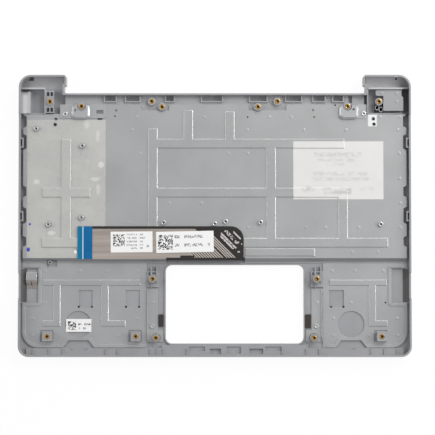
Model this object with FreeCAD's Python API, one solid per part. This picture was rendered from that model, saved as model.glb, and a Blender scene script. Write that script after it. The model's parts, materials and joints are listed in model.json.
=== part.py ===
import FreeCAD, Part
import math
import os

from FreeCAD import Vector

# Laptop upper cover with its keyboard, lying user face down. Millimetres.
# X runs along the width, Y towards the hinge edge, Z from the user face (0) to the inside.

# Overall size
width = 290.0
rear_margin = 8.05       # hinge edge to the rear edge of the keyboard plate
rear_land = 8.3          # keyboard plate's rear edge to the first row of keys
front_land = 3.0         # last row of keys to the keyboard plate's front edge
palm_depth = 72.85       # keyboard plate's front edge to the front edge of the cover
ear_reach = 13.5         # how far the hinge ears stand out behind the hinge edge
ear_width = 35.1
ear_neck = 1.4           # the ear is this much narrower beside the body
ear_neck_reach = 5.5

# Cover sections
deck_t = 1.6
wall_t = 1.3
wall_h = 7.5
ear_h = 9.0
ear_floor = 1.8
ear_front = 4.3          # the ear's own bay starts this far behind the hinge edge
ear_wall = 1.2
ear_rim = 0.9            # rim left behind the ear's hollow
corner_bay = 15.2        # depth of the corner bays in front of the ears
ear_corner_r = 9.0
front_corner_r = 7.8
notch_corner_r = 2.2
deck_bevel = 0.8
seat_wall = 1.2

# Keyboard
units_across = 14.5      # a row's width in letter keys
field_side = 10.9        # side of the cover to the first key
function_pitch = 11.6
row_pitch = 18.2
key_gap = 2.6
key_clear = 0.4          # cap to lattice
key_recess = 0.3         # caps lie this far behind the user face
key_h = 2.1
key_bevel = 0.35
key_travel = 1.3
bezel_t = 1.0
bezel_land = 1.0         # the lattice frame round the outer keys
membrane_t = 0.3
membrane_gap = 0.2       # a pressed key stays this far from the membrane
stem = 5.0

# Pressed steel
plate_t = 0.5
plate_side = 3.0         # side of the cover to the keyboard plate
plate_rise = 0.6
plate_slope = 0.45
step_run = 3.4           # length of the turned-down step in front of the keyboard plate
film_t = 0.1
label_t = 0.1
glue_t = 0.03

# Touchpad window
window_x = 14.7          # its centre, from the middle of the cover
window_width = 102.0
window_front = 9.65
window_rear = 5.2
window_r = 4.7
lip = 1.0

# Screw inserts and their bosses
insert_r = 1.95
insert_bore_r = 1.0
insert_h = 4.0
insert_fit = 0.02
insert_proud = 0.2
boss_r = 2.9
boss_top = 6.2
boss_clear = 0.4
post_sides = 12          # flat sides of small round pieces that repeat

half_w = width / 2
key_pitch = (width - 2 * field_side) / units_across
field_depth = function_pitch + 5 * row_pitch
plate_depth = rear_land + field_depth + front_land
body_depth = rear_margin + plate_depth + palm_depth
y_front = -(body_depth + ear_reach) / 2
y_rear = y_front + body_depth
y_ear = y_rear + ear_reach
plate_rear = y_rear - rear_margin
plate_front = plate_rear - plate_depth
field_rear = plate_rear - rear_land
field_front = field_rear - field_depth
inner_x = half_w - wall_t
plate_x = half_w - plate_side
membrane_z = key_recess + key_h + key_travel + membrane_gap
plate_z = membrane_z + membrane_t
plate_top = plate_z + plate_t
palm_top = deck_t + plate_t
window_left = window_x - window_width / 2
window_right = window_x + window_width / 2
window_y0 = y_front + window_front
window_y1 = plate_front - window_rear
well_x = half_w - field_side - key_gap / 2 + key_clear + bezel_land
well_y0 = field_front + key_gap / 2 - key_clear - bezel_land
well_y1 = field_rear - key_gap / 2 + key_clear + bezel_land
LEFT, RIGHT = -1, 1


# Places by their distance from a side, from the front edge or from the hinge edge
def at_side(side, inwards):
    return side * (half_w - inwards)


def across(side, near, far):
    a, b = at_side(side, near), at_side(side, far)
    return min(a, b), max(a, b)


def from_front(distance):
    return y_front + distance


def from_rear(distance):
    return y_rear - distance


# Basic solids
def box(x0, x1, y0, y1, z0, z1):
    return Part.makeBox(x1 - x0, y1 - y0, z1 - z0, Vector(x0, y0, z0))


def post(x, y, r, z0, z1):
    return Part.makeCylinder(r, z1 - z0, Vector(x, y, z0))


def sided_post(x, y, r, z0, z1):
    """Post with many flat sides, for small round pieces that repeat."""
    turns = [2 * math.pi * i / post_sides for i in range(post_sides)]
    points = [Vector(x + r * math.cos(a), y + r * math.sin(a), z0) for a in turns]
    return Part.Face(Part.makePolygon(points + points[:1])).extrude(Vector(0, 0, z1 - z0))


def rect(x0, x1, y0, y1, r=0.0):
    return [(x0, y0, r), (x1, y0, r), (x1, y1, r), (x0, y1, r)]


def outline(corners, z=0.0):
    """Closed wire through corners (x, y, radius), each rounded by its own radius."""
    points = [Vector(x, y, z) for x, y, _ in corners]
    turns = []
    for i, (_, _, r) in enumerate(corners):
        here = points[i]
        if r <= 0:
            turns.append((here, None, here))
            continue
        back = (points[i - 1] - here).normalize()
        ahead = (points[(i + 1) % len(points)] - here).normalize()
        half = back.getAngle(ahead) / 2
        reach = r / math.tan(half)
        centre = here + (back + ahead).normalize() * (r / math.sin(half))
        middle = centre + (here - centre).normalize() * r
        turns.append((here + back * reach, middle, here + ahead * reach))
    edges = []
    for i, (start, middle, end) in enumerate(turns):
        if middle is not None:
            edges.append(Part.Arc(start, middle, end).toShape())
        onward = turns[(i + 1) % len(turns)][0]
        if (onward - end).Length > 1e-6:
            edges.append(Part.LineSegment(end, onward).toShape())
    return Part.Wire(edges)


def slab(corners, z0, z1):
    return Part.Face(outline(corners, z0)).extrude(Vector(0, 0, z1 - z0))


def profile_along_x(points, x0, x1):
    """Solid with a section of (y, z) points, run from x0 to x1."""
    section = Part.makePolygon([Vector(x0, y, z) for y, z in points + points[:1]])
    return Part.Face(section).extrude(Vector(x1 - x0, 0, 0))


def bevelled(corners, z0, z1, bevel, top=True):
    """Slab whose edges at one end are bevelled."""
    block = slab(corners, z0, z1)
    z = z1 if top else z0
    ends = [e for e in block.Edges if abs(e.BoundBox.ZMin - z) < 1e-4 and abs(e.BoundBox.ZMax - z) < 1e-4]
    return block.makeChamfer(bevel, ends)


def stepped_rect(x0, x1, y0, y1, r):
    """Rectangle with each corner rounded in three straight steps."""
    corners = []
    for x, y, start in ((x0 + r, y0 + r, 180), (x1 - r, y0 + r, 270), (x1 - r, y1 - r, 0), (x0 + r, y1 - r, 90)):
        for step in range(4):
            turn = math.radians(start + 30 * step)
            corners.append((x + r * math.cos(turn), y + r * math.sin(turn), 0.0))
    return corners


def ridge(x0, x1, y0, y1, z, height, slope, r=0.0):
    """Raised pad with sloping sides."""
    corners = stepped_rect(x0, x1, y0, y1, r) if r else rect(x0, x1, y0, y1)
    return bevelled(corners, z, z + height, slope)


def pressed(blank, beads, z0, rise, slope):
    """Sheet with beads pressed up: each stands proud on top and is hollow behind."""
    up = [ridge(*bead, z0 + plate_t, rise, slope) for bead in beads]
    skin = plate_t * 0.8
    hollow = [
        ridge(x0 + skin, x1 - skin, y0 + skin, y1 - skin, z0, rise, slope)
        for x0, x1, y0, y1 in beads
    ]
    return blank.fuse(up).cut(hollow).removeSplitter()


# Screw inserts: names tell the pair, so that both holes of a pair lie on one line
INSERTS = {
    "corner_left": (at_side(LEFT, 22.8), from_rear(6.05)),
    "corner_right": (at_side(RIGHT, 23.3), from_rear(6.05)),
    "hinge_left": (at_side(LEFT, 46.2), from_rear(9.55)),
    "hinge_right": (at_side(RIGHT, 46.6), from_rear(9.55)),
    "rear_left": (-46.8, from_rear(5.85)),
    "rear_right": (46.4, from_rear(5.85)),
    "middle_left": (-39.1, from_rear(9.95)),
    "middle_right": (32.0, from_rear(9.95)),
    "pad_rear_left": (window_left - 9.6, from_front(57.45)),
    "pad_rear_right": (window_right + 9.7, from_front(57.45)),
    "pad_front_left": (window_left - 7.1, from_front(14.05)),
    "pad_front_right": (window_right + 7.5, from_front(14.05)),
    "palm_left": (at_side(LEFT, 21.4), from_front(15.05)),
    "palm_inner": (window_left - 22.0, from_front(15.05)),
    "palm_right": (at_side(RIGHT, 21.7), from_front(15.05)),
}
SQUARE_BOSSES = ("palm_left", "palm_inner", "palm_right")
SLOTTED = ("hinge_left", "hinge_right", "middle_left", "middle_right")
square_boss = 7.2

# Snap hooks on the side walls, and the bites in the keyboard plate that clear them
HOOKS = (36.6, 91.0)                                   # distance from the hinge edge
BITES = ((20.6, 7.0), (35.9, 9.4), (72.6, 6.0), (90.4, 10.0), (109.6, 5.6))
bite_depth = 2.4
bite_flank = 1.4
hook_length = 7.4
hook_reach = 2.0


def cover_outline(inset=0.0):
    """The cover seen from inside, with its two hinge ears."""
    i = inset
    head, neck = half_w - ear_width, half_w - ear_width + ear_neck
    jog = y_rear + ear_neck_reach
    outer_r, inner_r = max(ear_corner_r - i, 0.5), max(notch_corner_r - i, 0.4)
    front_r = max(front_corner_r - i, 0.5)
    right = [
        (half_w - i, y_front + i, front_r),
        (half_w - i, y_ear - i, outer_r),
        (head + i, y_ear - i, inner_r),
        (head + i, jog + i, 0.0),
        (neck + i, jog + i, 0.0),
        (neck + i, y_rear - i, 0.0),
    ]
    left = [(-x, y, r) for x, y, r in reversed(right)]
    return right + left


def cover_walls():
    ring = slab(cover_outline(), deck_t, ear_h).cut(slab(cover_outline(wall_t), deck_t, ear_h + 1))
    y_step = y_rear - corner_bay
    low = [
        box(-half_w - 1, half_w + 1, y_front - 1, y_step, wall_h, ear_h + 1),
        box(-half_w + ear_width, half_w - ear_width, y_step - 1, y_rear + 1, wall_h, ear_h + 1),
    ]
    return ring.cut(low)


def ear_scoop(side):
    """Round hollow of a hinge ear, for the barrel of the lid's hinge."""
    i = wall_t / 2
    x0, x1 = across(side, i, ear_width - ear_neck - i)
    outer_r = ear_corner_r - i
    radii = (0.0, 0.0, outer_r, 0.4) if side == RIGHT else (0.0, 0.0, 0.4, outer_r)
    y0, y1 = y_rear + ear_front, y_ear - i
    corners = [(x, y, r) for (x, y, _), r in zip(rect(x0, x1, y0 - ear_wall, y1), radii)]
    block = slab(corners, deck_t - 0.1, ear_h)
    reach, rise = y_ear - ear_rim - y0, ear_h - ear_floor
    barrel_r = (reach ** 2 + rise ** 2) / (2 * rise)
    barrel = Part.makeCylinder(barrel_r, width, Vector(-half_w, y0, ear_floor + barrel_r), Vector(1, 0, 0))
    inside = slab(cover_outline(wall_t), 0, ear_h + 1)
    hollow = barrel.common(inside).common(box(-half_w, half_w, y0, y_ear, 0, ear_h + 1))
    front = box(x0 - 1, x1 + 1, y0 - ear_wall - 1, y0, ear_floor, ear_h + 1)
    return block.cut([hollow, front])


def corner_bay_walls(side):
    """Thin walls of the port bay in front of an ear."""
    inner = 18.7 if side == LEFT else 31.2
    x0, x1 = across(side, 0.6, inner)
    rear = box(x0, x1, y_rear + ear_front - ear_wall, y_rear + ear_front, deck_t, ear_h - 1.6)
    wall = across(side, inner, inner + 0.9)
    inner_wall = box(*wall, y_rear - corner_bay, y_rear + ear_front, deck_t, boss_top - 0.2)
    front = box(*across(side, 0.6, inner), y_rear - corner_bay, y_rear - corner_bay + 0.9, deck_t, plate_top)
    return [rear, inner_wall, front]


def port_arch():
    """Rounded tunnel of the power socket in the left corner bay."""
    x0, x1 = across(LEFT, 0.9, 8.6)
    block = box(x0, x1, y_rear - 14.6, y_rear + 1.5, deck_t, 5.8)
    edge = [e for e in block.Edges if e.BoundBox.XMin > x1 - 0.01 and e.BoundBox.ZMin > 5.7]
    return block.makeFillet(2.6, edge)


def rib_cell():
    """Ribbed block round the left corner insert, with six open cells."""
    x0, x1 = across(LEFT, 19.6, 25.8)
    y0, y1 = y_rear - 14.4, y_rear + 2.2
    block = box(x0, x1, y0, y1, deck_t, boss_top - 0.6)
    cells = [
        box(x, x + 1.9, y, y + 3.0, deck_t + 0.8, boss_top)
        for x in (x0 + 0.8, x1 - 2.7)
        for y in (y0 + 0.8, y0 + 12.6)
    ]
    slots = [box(x0 + 0.7, x0 + 2.0, y0 + 7.2, y0 + 9.4, deck_t + 0.8, boss_top)]
    return block.cut(cells + slots)


def right_corner_ribs():
    """Ribs that carry the steel plate of the right corner."""
    z1 = boss_top - plate_t - 0.1
    x0, x1 = across(RIGHT, 6.5, 19.0)
    outer = box(x0, x1, y_rear - 12.4, y_rear + 1.9, deck_t, z1)
    inner = box(x0 + 1.2, x1 - 1.2, y_rear - 11.2, y_rear + 0.8, deck_t, z1 + 1)
    rib = box(*across(RIGHT, 12.3, 13.3), y_rear - 11.5, y_rear + 1.5, deck_t, z1)
    return [outer.cut(inner), rib]


# Catches of the rear strip: (from x, to x)
REAR_CATCHES = (
    (-81.5, -73.5), (-65.9, -55.8), (-36.2, -30.4), (-9.5, 5.3), (26.1, 38.4),
    (52.9, 64.0), (73.1, 81.5), (87.8, 95.0),
)
catch_wall = 0.8
REAR_SLOT = (99.2, 101.9, 7.0, 1.5)      # open slot: from x, to x, and distances from the hinge edge


def rear_strip():
    """Shelf along the hinge edge with open catches for the lower cover's hooks."""
    x1 = half_w - ear_width + 1.0
    shelf = box(-x1, x1, plate_rear - 4.4, y_rear - wall_t + 0.2, deck_t, plate_z)
    frames, holes = [], []
    for x0, x1 in REAR_CATCHES:
        y0, y1 = y_rear - 5.6, y_rear - wall_t
        frames.append(box(x0 - catch_wall, x1 + catch_wall, y0 - catch_wall, y1 + 0.1, plate_z, plate_z + 1.2))
        holes.append(box(x0, x1, y0, y1, deck_t + 0.6, wall_h))
    x0, x1, far, near = REAR_SLOT
    holes.append(box(x0, x1, from_rear(far), from_rear(near), deck_t + 0.6, wall_h))
    return shelf.fuse(frames).cut(holes)


# Snap pockets of the front strip: (from x, to x, from and to distance from the front edge)
FRONT_POCKETS = (
    (-106.8, -94.2, 5.0, 8.0), (-19.2, -7.3, 4.4, 8.0), (-3.6, 4.6, 1.9, 6.0), (9.0, 19.4, 2.4, 7.6),
    (25.4, 35.8, 1.9, 6.0), (37.3, 49.2, 4.4, 8.0), (95.9, 103.4, 5.4, 8.0),
)
FRONT_RIBS = (-80.8, -71.9, -48.1, -43.2, -38.5, -21.0, 49.5, 67.2, 76.9)
FRONT_SIDE_RIBS = ((LEFT, 10.4), (LEFT, 22.2), (LEFT, 32.5), (RIGHT, 30.0), (RIGHT, 20.1), (RIGHT, 10.7))
front_shelf = 6.4
front_shelf_z = 3.4
rib_t = 0.8
rib_h = 0.6


def front_strip():
    """Shelf along the front edge with ribs and snap pockets."""
    shelf = box(-half_w + 5.5, half_w - 5.5, y_front + wall_t - 0.2, y_front + front_shelf, deck_t, front_shelf_z)
    pad = box(window_left - 3, window_right + 3, y_front + 3, window_y0 - lip, deck_t, front_shelf_z - 0.6)
    places = list(FRONT_RIBS) + [at_side(side, u) for side, u in FRONT_SIDE_RIBS]
    ribs = [
        box(x, x + rib_t, y_front + wall_t - 0.2, y_front + front_shelf - 0.4, deck_t, front_shelf_z + rib_h)
        for x in places
    ]
    pockets = [
        box(x0, x1, y_front + v0, y_front + min(v1, window_front - 2.2), deck_t + 0.5, wall_h)
        for x0, x1, v0, v1 in FRONT_POCKETS
    ]
    return shelf.fuse([pad] + ribs).cut(pockets)


def keyboard_seat():
    """Upright frame round the keyboard that carries the steel plate."""
    x1, y0, y1 = well_x + 0.2, well_y0 - 0.2, well_y1 + 0.2
    ring = box(-x1 - seat_wall, x1 + seat_wall, y0 - seat_wall, y1 + seat_wall, deck_t, plate_z)
    ring = ring.cut(box(-x1, x1, y0, y1, deck_t, plate_z))
    tail_gap = box(*TAIL_FOLD_X, y0 - seat_wall - 1, y0 + 1, deck_t + 0.8, plate_z + 1)
    return ring.cut(tail_gap)


# Keyboard tail
tail_t = 0.15
tail_length = 122.7
tail_depth = 24.3
tail_left = at_side(LEFT, 43.6)
tail_right = tail_left + tail_length
tail_front = plate_front - 0.8
tail_rear = tail_front + tail_depth
tail_z = plate_top + plate_rise + film_t + glue_t + 0.04
tail_corner_r = 9.5
stiffener_width = 10.9
stiffener_t = 0.2
TAIL_FOLD_X = (tail_right - 57.3, tail_right + 1.0)

# Guide post of the left palm and the opening round it: inwards from the side, and from the front edge
GUIDE = (at_side(LEFT, 23.0), plate_front - 3.2)
guide_r = 1.5
guide_top = 4.2
GUIDE_OPENING = (20.8, 28.2, palm_depth - 6.5, palm_depth - 1.4)


def boss(name):
    x, y = INSERTS[name]
    if name in SQUARE_BOSSES:
        h = square_boss / 2
        return box(x - h, x + h, y - h, y + h, deck_t, boss_top)
    return sided_post(x, y, boss_r, deck_t, boss_top)


def hook(side, distance):
    """Loop on a side wall that a snap hook goes into."""
    y = from_rear(distance)
    x0, x1 = across(side, wall_t - 0.1, wall_t + hook_reach)
    loop = box(x0, x1, y - hook_length / 2, y + hook_length / 2, deck_t + 0.8, wall_h - 0.6)
    slot_x = across(side, wall_t, wall_t + hook_reach - 0.7)
    return loop.cut(box(*slot_x, y - hook_length / 2 + 1, y + hook_length / 2 - 1, deck_t + 1.8, wall_h))


# Side recesses for the ports, from the front edge
RECESS = (palm_depth - 33.1, palm_depth - 7.5)
recess_depth = 14.3
port_sill = 4.7


def port_notches():
    return [
        box(*sorted((side * (half_w + 1), side * (half_w - wall_t - 1))),
            from_front(RECESS[0] + 3.5), from_front(RECESS[1] - 3.5), port_sill, wall_h + 1)
        for side in (LEFT, RIGHT)
    ]


def recess_slopes():
    """Sloping inside of the wall beside each port recess."""
    slopes = []
    for side in (LEFT, RIGHT):
        x_wall, x_toe = side * (inner_x + 0.1), side * (inner_x - 4.2)
        section = Part.makePolygon([
            Vector(x_wall, from_front(RECESS[0]), deck_t - 0.1),
            Vector(x_toe, from_front(RECESS[0]), deck_t - 0.1),
            Vector(x_wall, from_front(RECESS[0]), port_sill - 0.6),
            Vector(x_wall, from_front(RECESS[0]), deck_t - 0.1),
        ])
        slopes.append(Part.Face(section).extrude(Vector(0, RECESS[1] - RECESS[0], 0)))
    return slopes


def pad_boss_block(side):
    """Ribbed foot of the insert at a rear corner of the window."""
    x, y = INSERTS["pad_rear_left" if side == LEFT else "pad_rear_right"]
    block = box(x - 4.2, x + 4.6, y - 6.2, y + 5.8, deck_t, deck_t + 1.4)
    rib_a = box(x - 1.6, x - 0.8, y - 6.6, y + 9.0, deck_t, deck_t + 2.0)
    rib_b = box(x + 2.6, x + 3.4, y - 3.0, y + 9.6, deck_t, deck_t + 2.0)
    cells = [box(x - 3.4, x - 2.0, y + 2.6, y + 4.8, deck_t + 0.4, boss_top),
             box(x - 0.3, x + 2.1, y + 3.2, y + 4.8, deck_t + 0.4, boss_top)]
    return block.fuse([rib_a, rib_b]).cut(cells)


def window_lip():
    outer = rect(window_left - lip, window_right + lip, window_y0 - lip, window_y1 + lip, window_r + lip)
    inner = rect(window_left, window_right, window_y0, window_y1, window_r)
    return slab(outer, deck_t, deck_t + 0.7).cut(slab(inner, deck_t - 1, deck_t + 1))


def palm_rest_shell():
    deck = slab(cover_outline(), 0, deck_t)
    low_edges = [e for e in deck.Edges if e.BoundBox.ZMax < 0.01]
    deck = deck.makeChamfer(deck_bevel, low_edges)
    well = box(-well_x + bezel_land, well_x - bezel_land, well_y0 + bezel_land, well_y1 - bezel_land, -1, deck_t + 1)
    window = slab(rect(window_left, window_right, window_y0, window_y1, window_r), -1, deck_t + 1)
    parts = [cover_walls(), rear_strip(), front_strip(), keyboard_seat(), window_lip()]
    parts += [port_arch(), rib_cell()] + right_corner_ribs() + recess_slopes()
    for side in (LEFT, RIGHT):
        parts.append(ear_scoop(side))
        parts.append(pad_boss_block(side))
        parts += corner_bay_walls(side)
        parts += [hook(side, distance) for distance in HOOKS]
    parts += [boss(name) for name in INSERTS]
    parts.append(sided_post(*GUIDE, guide_r, deck_t, guide_top))
    shell = deck.fuse(parts).cut([well, window, sided_post(*GUIDE, guide_r / 2, deck_t + 0.4, ear_h)])
    holes = [sided_post(x, y, insert_r + insert_fit, boss_top - insert_h, ear_h + 1) for x, y in INSERTS.values()]
    return shell.cut(port_notches() + holes).removeSplitter()


# Keys, seen from the user side: each row starts at the right of this frame
FUNCTION_KEYS = 12
ROWS = (
    [1.0] * 13 + [("backspace_key", 1.5)],
    [("tab_key", 1.5)] + [1.0] * 13,
    [("search_key", 1.75)] + [1.0] * 11 + [("enter_key", 1.75)],
    [("left_shift_key", 2.25)] + [1.0] * 10 + [("right_shift_key", 2.25)],
    [("left_control_key", 2.0), ("left_alt_key", 1.5), ("space_bar", 5.0), ("right_alt_key", 1.5),
     ("right_control_key", 1.5), ("arrows", 3.0)],
)


def key_places():
    """Cap rectangles: like keys as a list, and the keys of other sizes by name."""
    half_gap = key_gap / 2
    like, named = [], {}
    step = units_across / FUNCTION_KEYS * key_pitch
    start = half_w - field_side
    y1, y0 = field_rear - half_gap, field_rear - function_pitch + half_gap
    for i in range(FUNCTION_KEYS):
        like.append((start - (i + 1) * step + half_gap, start - i * step - half_gap, y0, y1))
    for row, keys in enumerate(ROWS):
        top = field_rear - function_pitch - row * row_pitch
        x = start
        for key in keys:
            name, units = key if isinstance(key, tuple) else (None, key)
            x0 = x - units * key_pitch
            place = (x0 + half_gap, x - half_gap, top - row_pitch + half_gap, top - half_gap)
            if name == "arrows":
                named.update(arrow_places(x, top))
            elif name:
                named[name] = place
            else:
                like.append(place)
            x = x0
    return like, named


def arrow_places(x, top):
    """Four half-height arrow keys in a space of three letter keys."""
    half_gap = key_gap / 2
    low, middle = top - row_pitch + half_gap, top - row_pitch / 2
    columns = [(x - (i + 1) * key_pitch + half_gap, x - i * key_pitch - half_gap) for i in range(3)]
    return {
        "arrow_left_key": (*columns[0], low, middle - half_gap / 2),
        "arrow_up_key": (*columns[1], middle + half_gap / 2, top - half_gap),
        "arrow_down_key": (*columns[1], low, middle - half_gap / 2),
        "arrow_right_key": (*columns[2], low, middle - half_gap / 2),
    }


LIKE_KEYS, NAMED_KEYS = key_places()


def keycap(x0, x1, y0, y1):
    """Cap with bevelled edges at the user face."""
    return bevelled(rect(x0, x1, y0, y1), key_recess, key_recess + key_h, key_bevel, top=False)


def keyboard_bezel():
    """Key lattice behind the deck's opening."""
    plate = box(-well_x, well_x, well_y0, well_y1, deck_t, deck_t + bezel_t)
    c = key_clear
    holes = [
        box(x0 - c, x1 + c, y0 - c, y1 + c, deck_t - 1, deck_t + bezel_t + 1)
        for x0, x1, y0, y1 in LIKE_KEYS + list(NAMED_KEYS.values())
    ]
    return plate.cut(holes)


def like_keys():
    """Membrane sheet that carries the keys of like size, each on its stem."""
    sheet = box(-well_x, well_x, well_y0 + 0.1, well_y1, membrane_z, plate_z)
    pieces = []
    for x0, x1, y0, y1 in LIKE_KEYS:
        x, y = (x0 + x1) / 2, (y0 + y1) / 2
        pieces.append(keycap(x0, x1, y0, y1))
        pieces.append(box(x - stem / 2, x + stem / 2, y - stem / 2, y + stem / 2, key_recess + key_h - 0.3, membrane_z + 0.1))
    return sheet.fuse(pieces).removeSplitter()


# Channels of the keyboard plate: (from x, to x, from y, to y)
channel = 7.0


def channel_across(x0, x1, y):
    return (x0, x1, y, y + channel)


def channel_along(x, y0, y1):
    return (x, x + channel, y0, y1)


y_h1, y_h2, y_h3 = plate_front + 81.4, plate_front + 45.0, plate_front + 7.9
CHANNELS = (
    channel_along(at_side(LEFT, 31.4), y_h3, plate_rear - 25.9),
    channel_across(at_side(LEFT, 17.2), at_side(LEFT, 53.0), y_h2),
    channel_across(at_side(LEFT, 17.0), at_side(RIGHT, 16.8), y_h3),
    channel_along(-49.4, y_h3, plate_rear - 17.8),
    channel_across(-49.4, 96.0, y_h1),
    channel_across(-49.4, at_side(RIGHT, 46.6), y_h2),
    channel_along(-23.2, y_h1, plate_rear - 4.0),
    channel_along(7.6, y_h1, plate_rear - 5.2),
    channel_along(38.2, y_h3, y_h1 + channel),
    channel_along(at_side(RIGHT, 53.6), y_h3, y_h2 + channel),
)
LEDGE = (TAIL_FOLD_X[1] + 0.1, TAIL_FOLD_X[1] + 51.7, plate_front + 1.4, plate_front + 7.2)

stud_r = 1.7
stud_bore_r = 0.85
stud_h = 1.7
STUDS = (
    (at_side(LEFT, 12.8), plate_rear - 18.1), (at_side(LEFT, 46.9), plate_rear - 30.8),
    (at_side(LEFT, 46.4), plate_front + 29.9), (at_side(LEFT, 21.9), plate_front + 24.8),
    (-37.9, plate_front + 26.2), (0.0, plate_front + 25.4), (8.0, plate_front + 27.0),
    (33.9, plate_front + 26.4), (at_side(RIGHT, 22.3), plate_front + 25.0),
)
HOLES = (
    (-73.3, plate_rear - 4.3, 0.8), (72.8, plate_rear - 4.1, 0.8),
    (at_side(LEFT, 27.1), plate_rear - 11.1, 1.3), (at_side(LEFT, 26.6), plate_rear - 14.9, 1.3),
    (at_side(RIGHT, 27.4), plate_rear - 10.6, 1.3), (at_side(RIGHT, 26.9), plate_rear - 14.6, 1.3),
    (at_side(LEFT, 59.7), plate_rear - 10.6, 1.9),
)


def wavy_side(side):
    """Corners of a plate side with its bites, from the front to the rear."""
    x = side * plate_x
    inner = side * (plate_x - bite_depth)
    corners = [(x, plate_front, 0.0)]
    for distance, length in reversed(BITES):
        y = from_rear(distance)
        reach = length / 2
        corners += [
            (x, y - reach - bite_flank, 0.0), (inner, y - reach, 0.0),
            (inner, y + reach, 0.0), (x, y + reach + bite_flank, 0.0),
        ]
    return corners


def plate_blank(z0, z1):
    """Flat outline of the keyboard plate with its bays at the rear edge."""
    corner_y = y_rear - corner_bay - 0.2
    bay_y = plate_rear - 4.4
    right = wavy_side(RIGHT) + [(plate_x, corner_y, 0.0), (at_side(RIGHT, 32.3), corner_y, 0.0),
                                (at_side(RIGHT, 32.3), plate_rear, 0.0)]
    rear = [(52.9, plate_rear, 1.5), (52.9, bay_y, 0.0), (25.0, bay_y, 0.0), (25.0, plate_rear, 1.5),
            (-34.0, plate_rear, 1.5), (-34.0, bay_y, 0.0), (-54.1, bay_y, 0.0), (-56.5, plate_rear, 1.5)]
    left = [(at_side(LEFT, 30.1), plate_rear, 0.0), (at_side(LEFT, 30.1), corner_y, 0.0), (-plate_x, corner_y, 0.0)]
    left += list(reversed(wavy_side(LEFT)))
    fold = [(TAIL_FOLD_X[0], plate_front, 0.0), (TAIL_FOLD_X[0], plate_front + 0.6, 0.0),
            (TAIL_FOLD_X[1], plate_front + 0.6, 0.0), (TAIL_FOLD_X[1], plate_front, 0.0)]
    return slab(right + rear + left + fold, z0, z1)


def insert_clearances(z0, z1, names=SLOTTED):
    """Slots round the bosses, open towards the hinge edge."""
    r = boss_r + boss_clear
    cuts = []
    for name in names:
        x, y = INSERTS[name]
        cuts += [sided_post(x, y, r, z0, z1), box(x - r, x + r, y, y + 6, z0, z1)]
    return cuts


def front_step(x0, x1):
    """Turned-down step from the keyboard plate to the palm plates."""
    y, foot = plate_front, plate_front - step_run
    top = [(y + 1.0, plate_top), (y, plate_top), (foot + 0.6, palm_top + 0.1), (foot, palm_top + 0.1)]
    low = [(foot, palm_top - 0.3), (foot + 0.8, palm_top - 0.3), (y + 0.4, plate_z), (y + 1.0, plate_z)]
    return profile_along_x(top + low, x0, x1)


def keyboard_back_plate():
    plate = plate_blank(plate_z, plate_top)
    plate = plate.fuse([front_step(-plate_x, TAIL_FOLD_X[0]), front_step(TAIL_FOLD_X[1], plate_x)])
    plate = pressed(plate, CHANNELS + (LEDGE,), plate_z, plate_rise, plate_slope)
    near, far, v0, v1 = GUIDE_OPENING
    holes = [sided_post(x, y, r, plate_z - 1, plate_top + 1) for x, y, r in HOLES]
    holes.append(box(*across(LEFT, near, far), from_front(v0), from_front(v1), palm_top - 1, plate_top + 1))
    return plate.cut(holes + insert_clearances(plate_z - 1, plate_top + 1)).removeSplitter()


# Palm plates: distances inwards from the side, and from the front edge
palm_outer = 2.6
palm_rear = plate_front - step_run - 0.3
palm_front = 6.75
palm_corner_r = 12.0
palm_bead = 2.2
palm_rise = 0.5
palm_slope = 0.4
left_palm_inner = half_w + window_left - 14.0
right_palm_inner = half_w - window_right - 14.3
circle_r = 9.8
CIRCLE = (right_palm_inner - 20.9, 23.9)
TRAPEZOID = (right_palm_inner - 32.5, right_palm_inner - 9.0, 12.05, 8.5)


def palm_corners(side, inner):
    """Outline of a palm plate: side recess, round outer corner and a notch in the front edge."""
    near, far, depth, flank = TRAPEZOID
    y0, y1 = from_front(RECESS[0]), from_front(RECESS[1])
    front, notch = from_front(palm_front), from_front(depth)
    points = [
        (palm_outer, front, palm_corner_r), (near, front, 0.0), (near + flank * 0.5, notch, 0.0),
        (far - flank * 0.5, notch, 0.0), (far, front, 0.0), (inner, front, 0.0), (inner, palm_rear, 0.0),
        (palm_outer, palm_rear, 0.0), (palm_outer, y1, 0.0), (recess_depth, y1, 0.0),
        (recess_depth, y0, 0.0), (palm_outer, y0, 0.0),
    ]
    corners = [(at_side(side, u), y, r) for u, y, r in points]
    return corners if side == LEFT else list(reversed(corners))


def palm_rim(side, inner, z0):
    """Raised border along the outer side and the front of a palm plate."""
    face = Part.Face(outline(palm_corners(side, inner), z0))
    border = face.cut(face.makeOffset2D(-palm_bead)).extrude(Vector(0, 0, palm_rise))
    keep = box(*across(side, 0, inner - palm_bead - 0.5), y_front, palm_rear - palm_bead - 0.5, z0 - 1, z0 + 1)
    return border.common(keep)


def palm_plate(side, inner, beads, windows, bosses):
    plate = slab(palm_corners(side, inner), deck_t, palm_top)
    plate = plate.fuse(palm_rim(side, inner, palm_top))
    plate = pressed(plate, beads, deck_t, palm_rise, palm_slope)
    cuts = [post(at_side(side, CIRCLE[0]), from_front(CIRCLE[1]), circle_r, deck_t - 1, palm_top + 2)]
    cuts += [box(*across(side, u0, u1), from_front(v0), from_front(v1), deck_t - 1, palm_top + 2)
             for u0, u1, v0, v1 in windows]
    h = square_boss / 2
    for name in bosses:
        x, y = INSERTS[name]
        cuts.append(box(x - h - 1.9, x + h + 0.5, y - h - 0.5, y + h + 1.0, deck_t - 1, palm_top + 2))
    return plate.cut(cuts).removeSplitter()


PALM_WINDOW_Y = (palm_depth - 36.5, palm_depth - 23.7)
BEAD_ACROSS_Y = (palm_depth - 20.3, palm_depth - 16.0)
BEAD_FOOT_Y = (22.35, 26.75)


def palm_bead_across(side, near, far, rows):
    return (*across(side, near, far), from_front(rows[0]), from_front(rows[1]))


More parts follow.
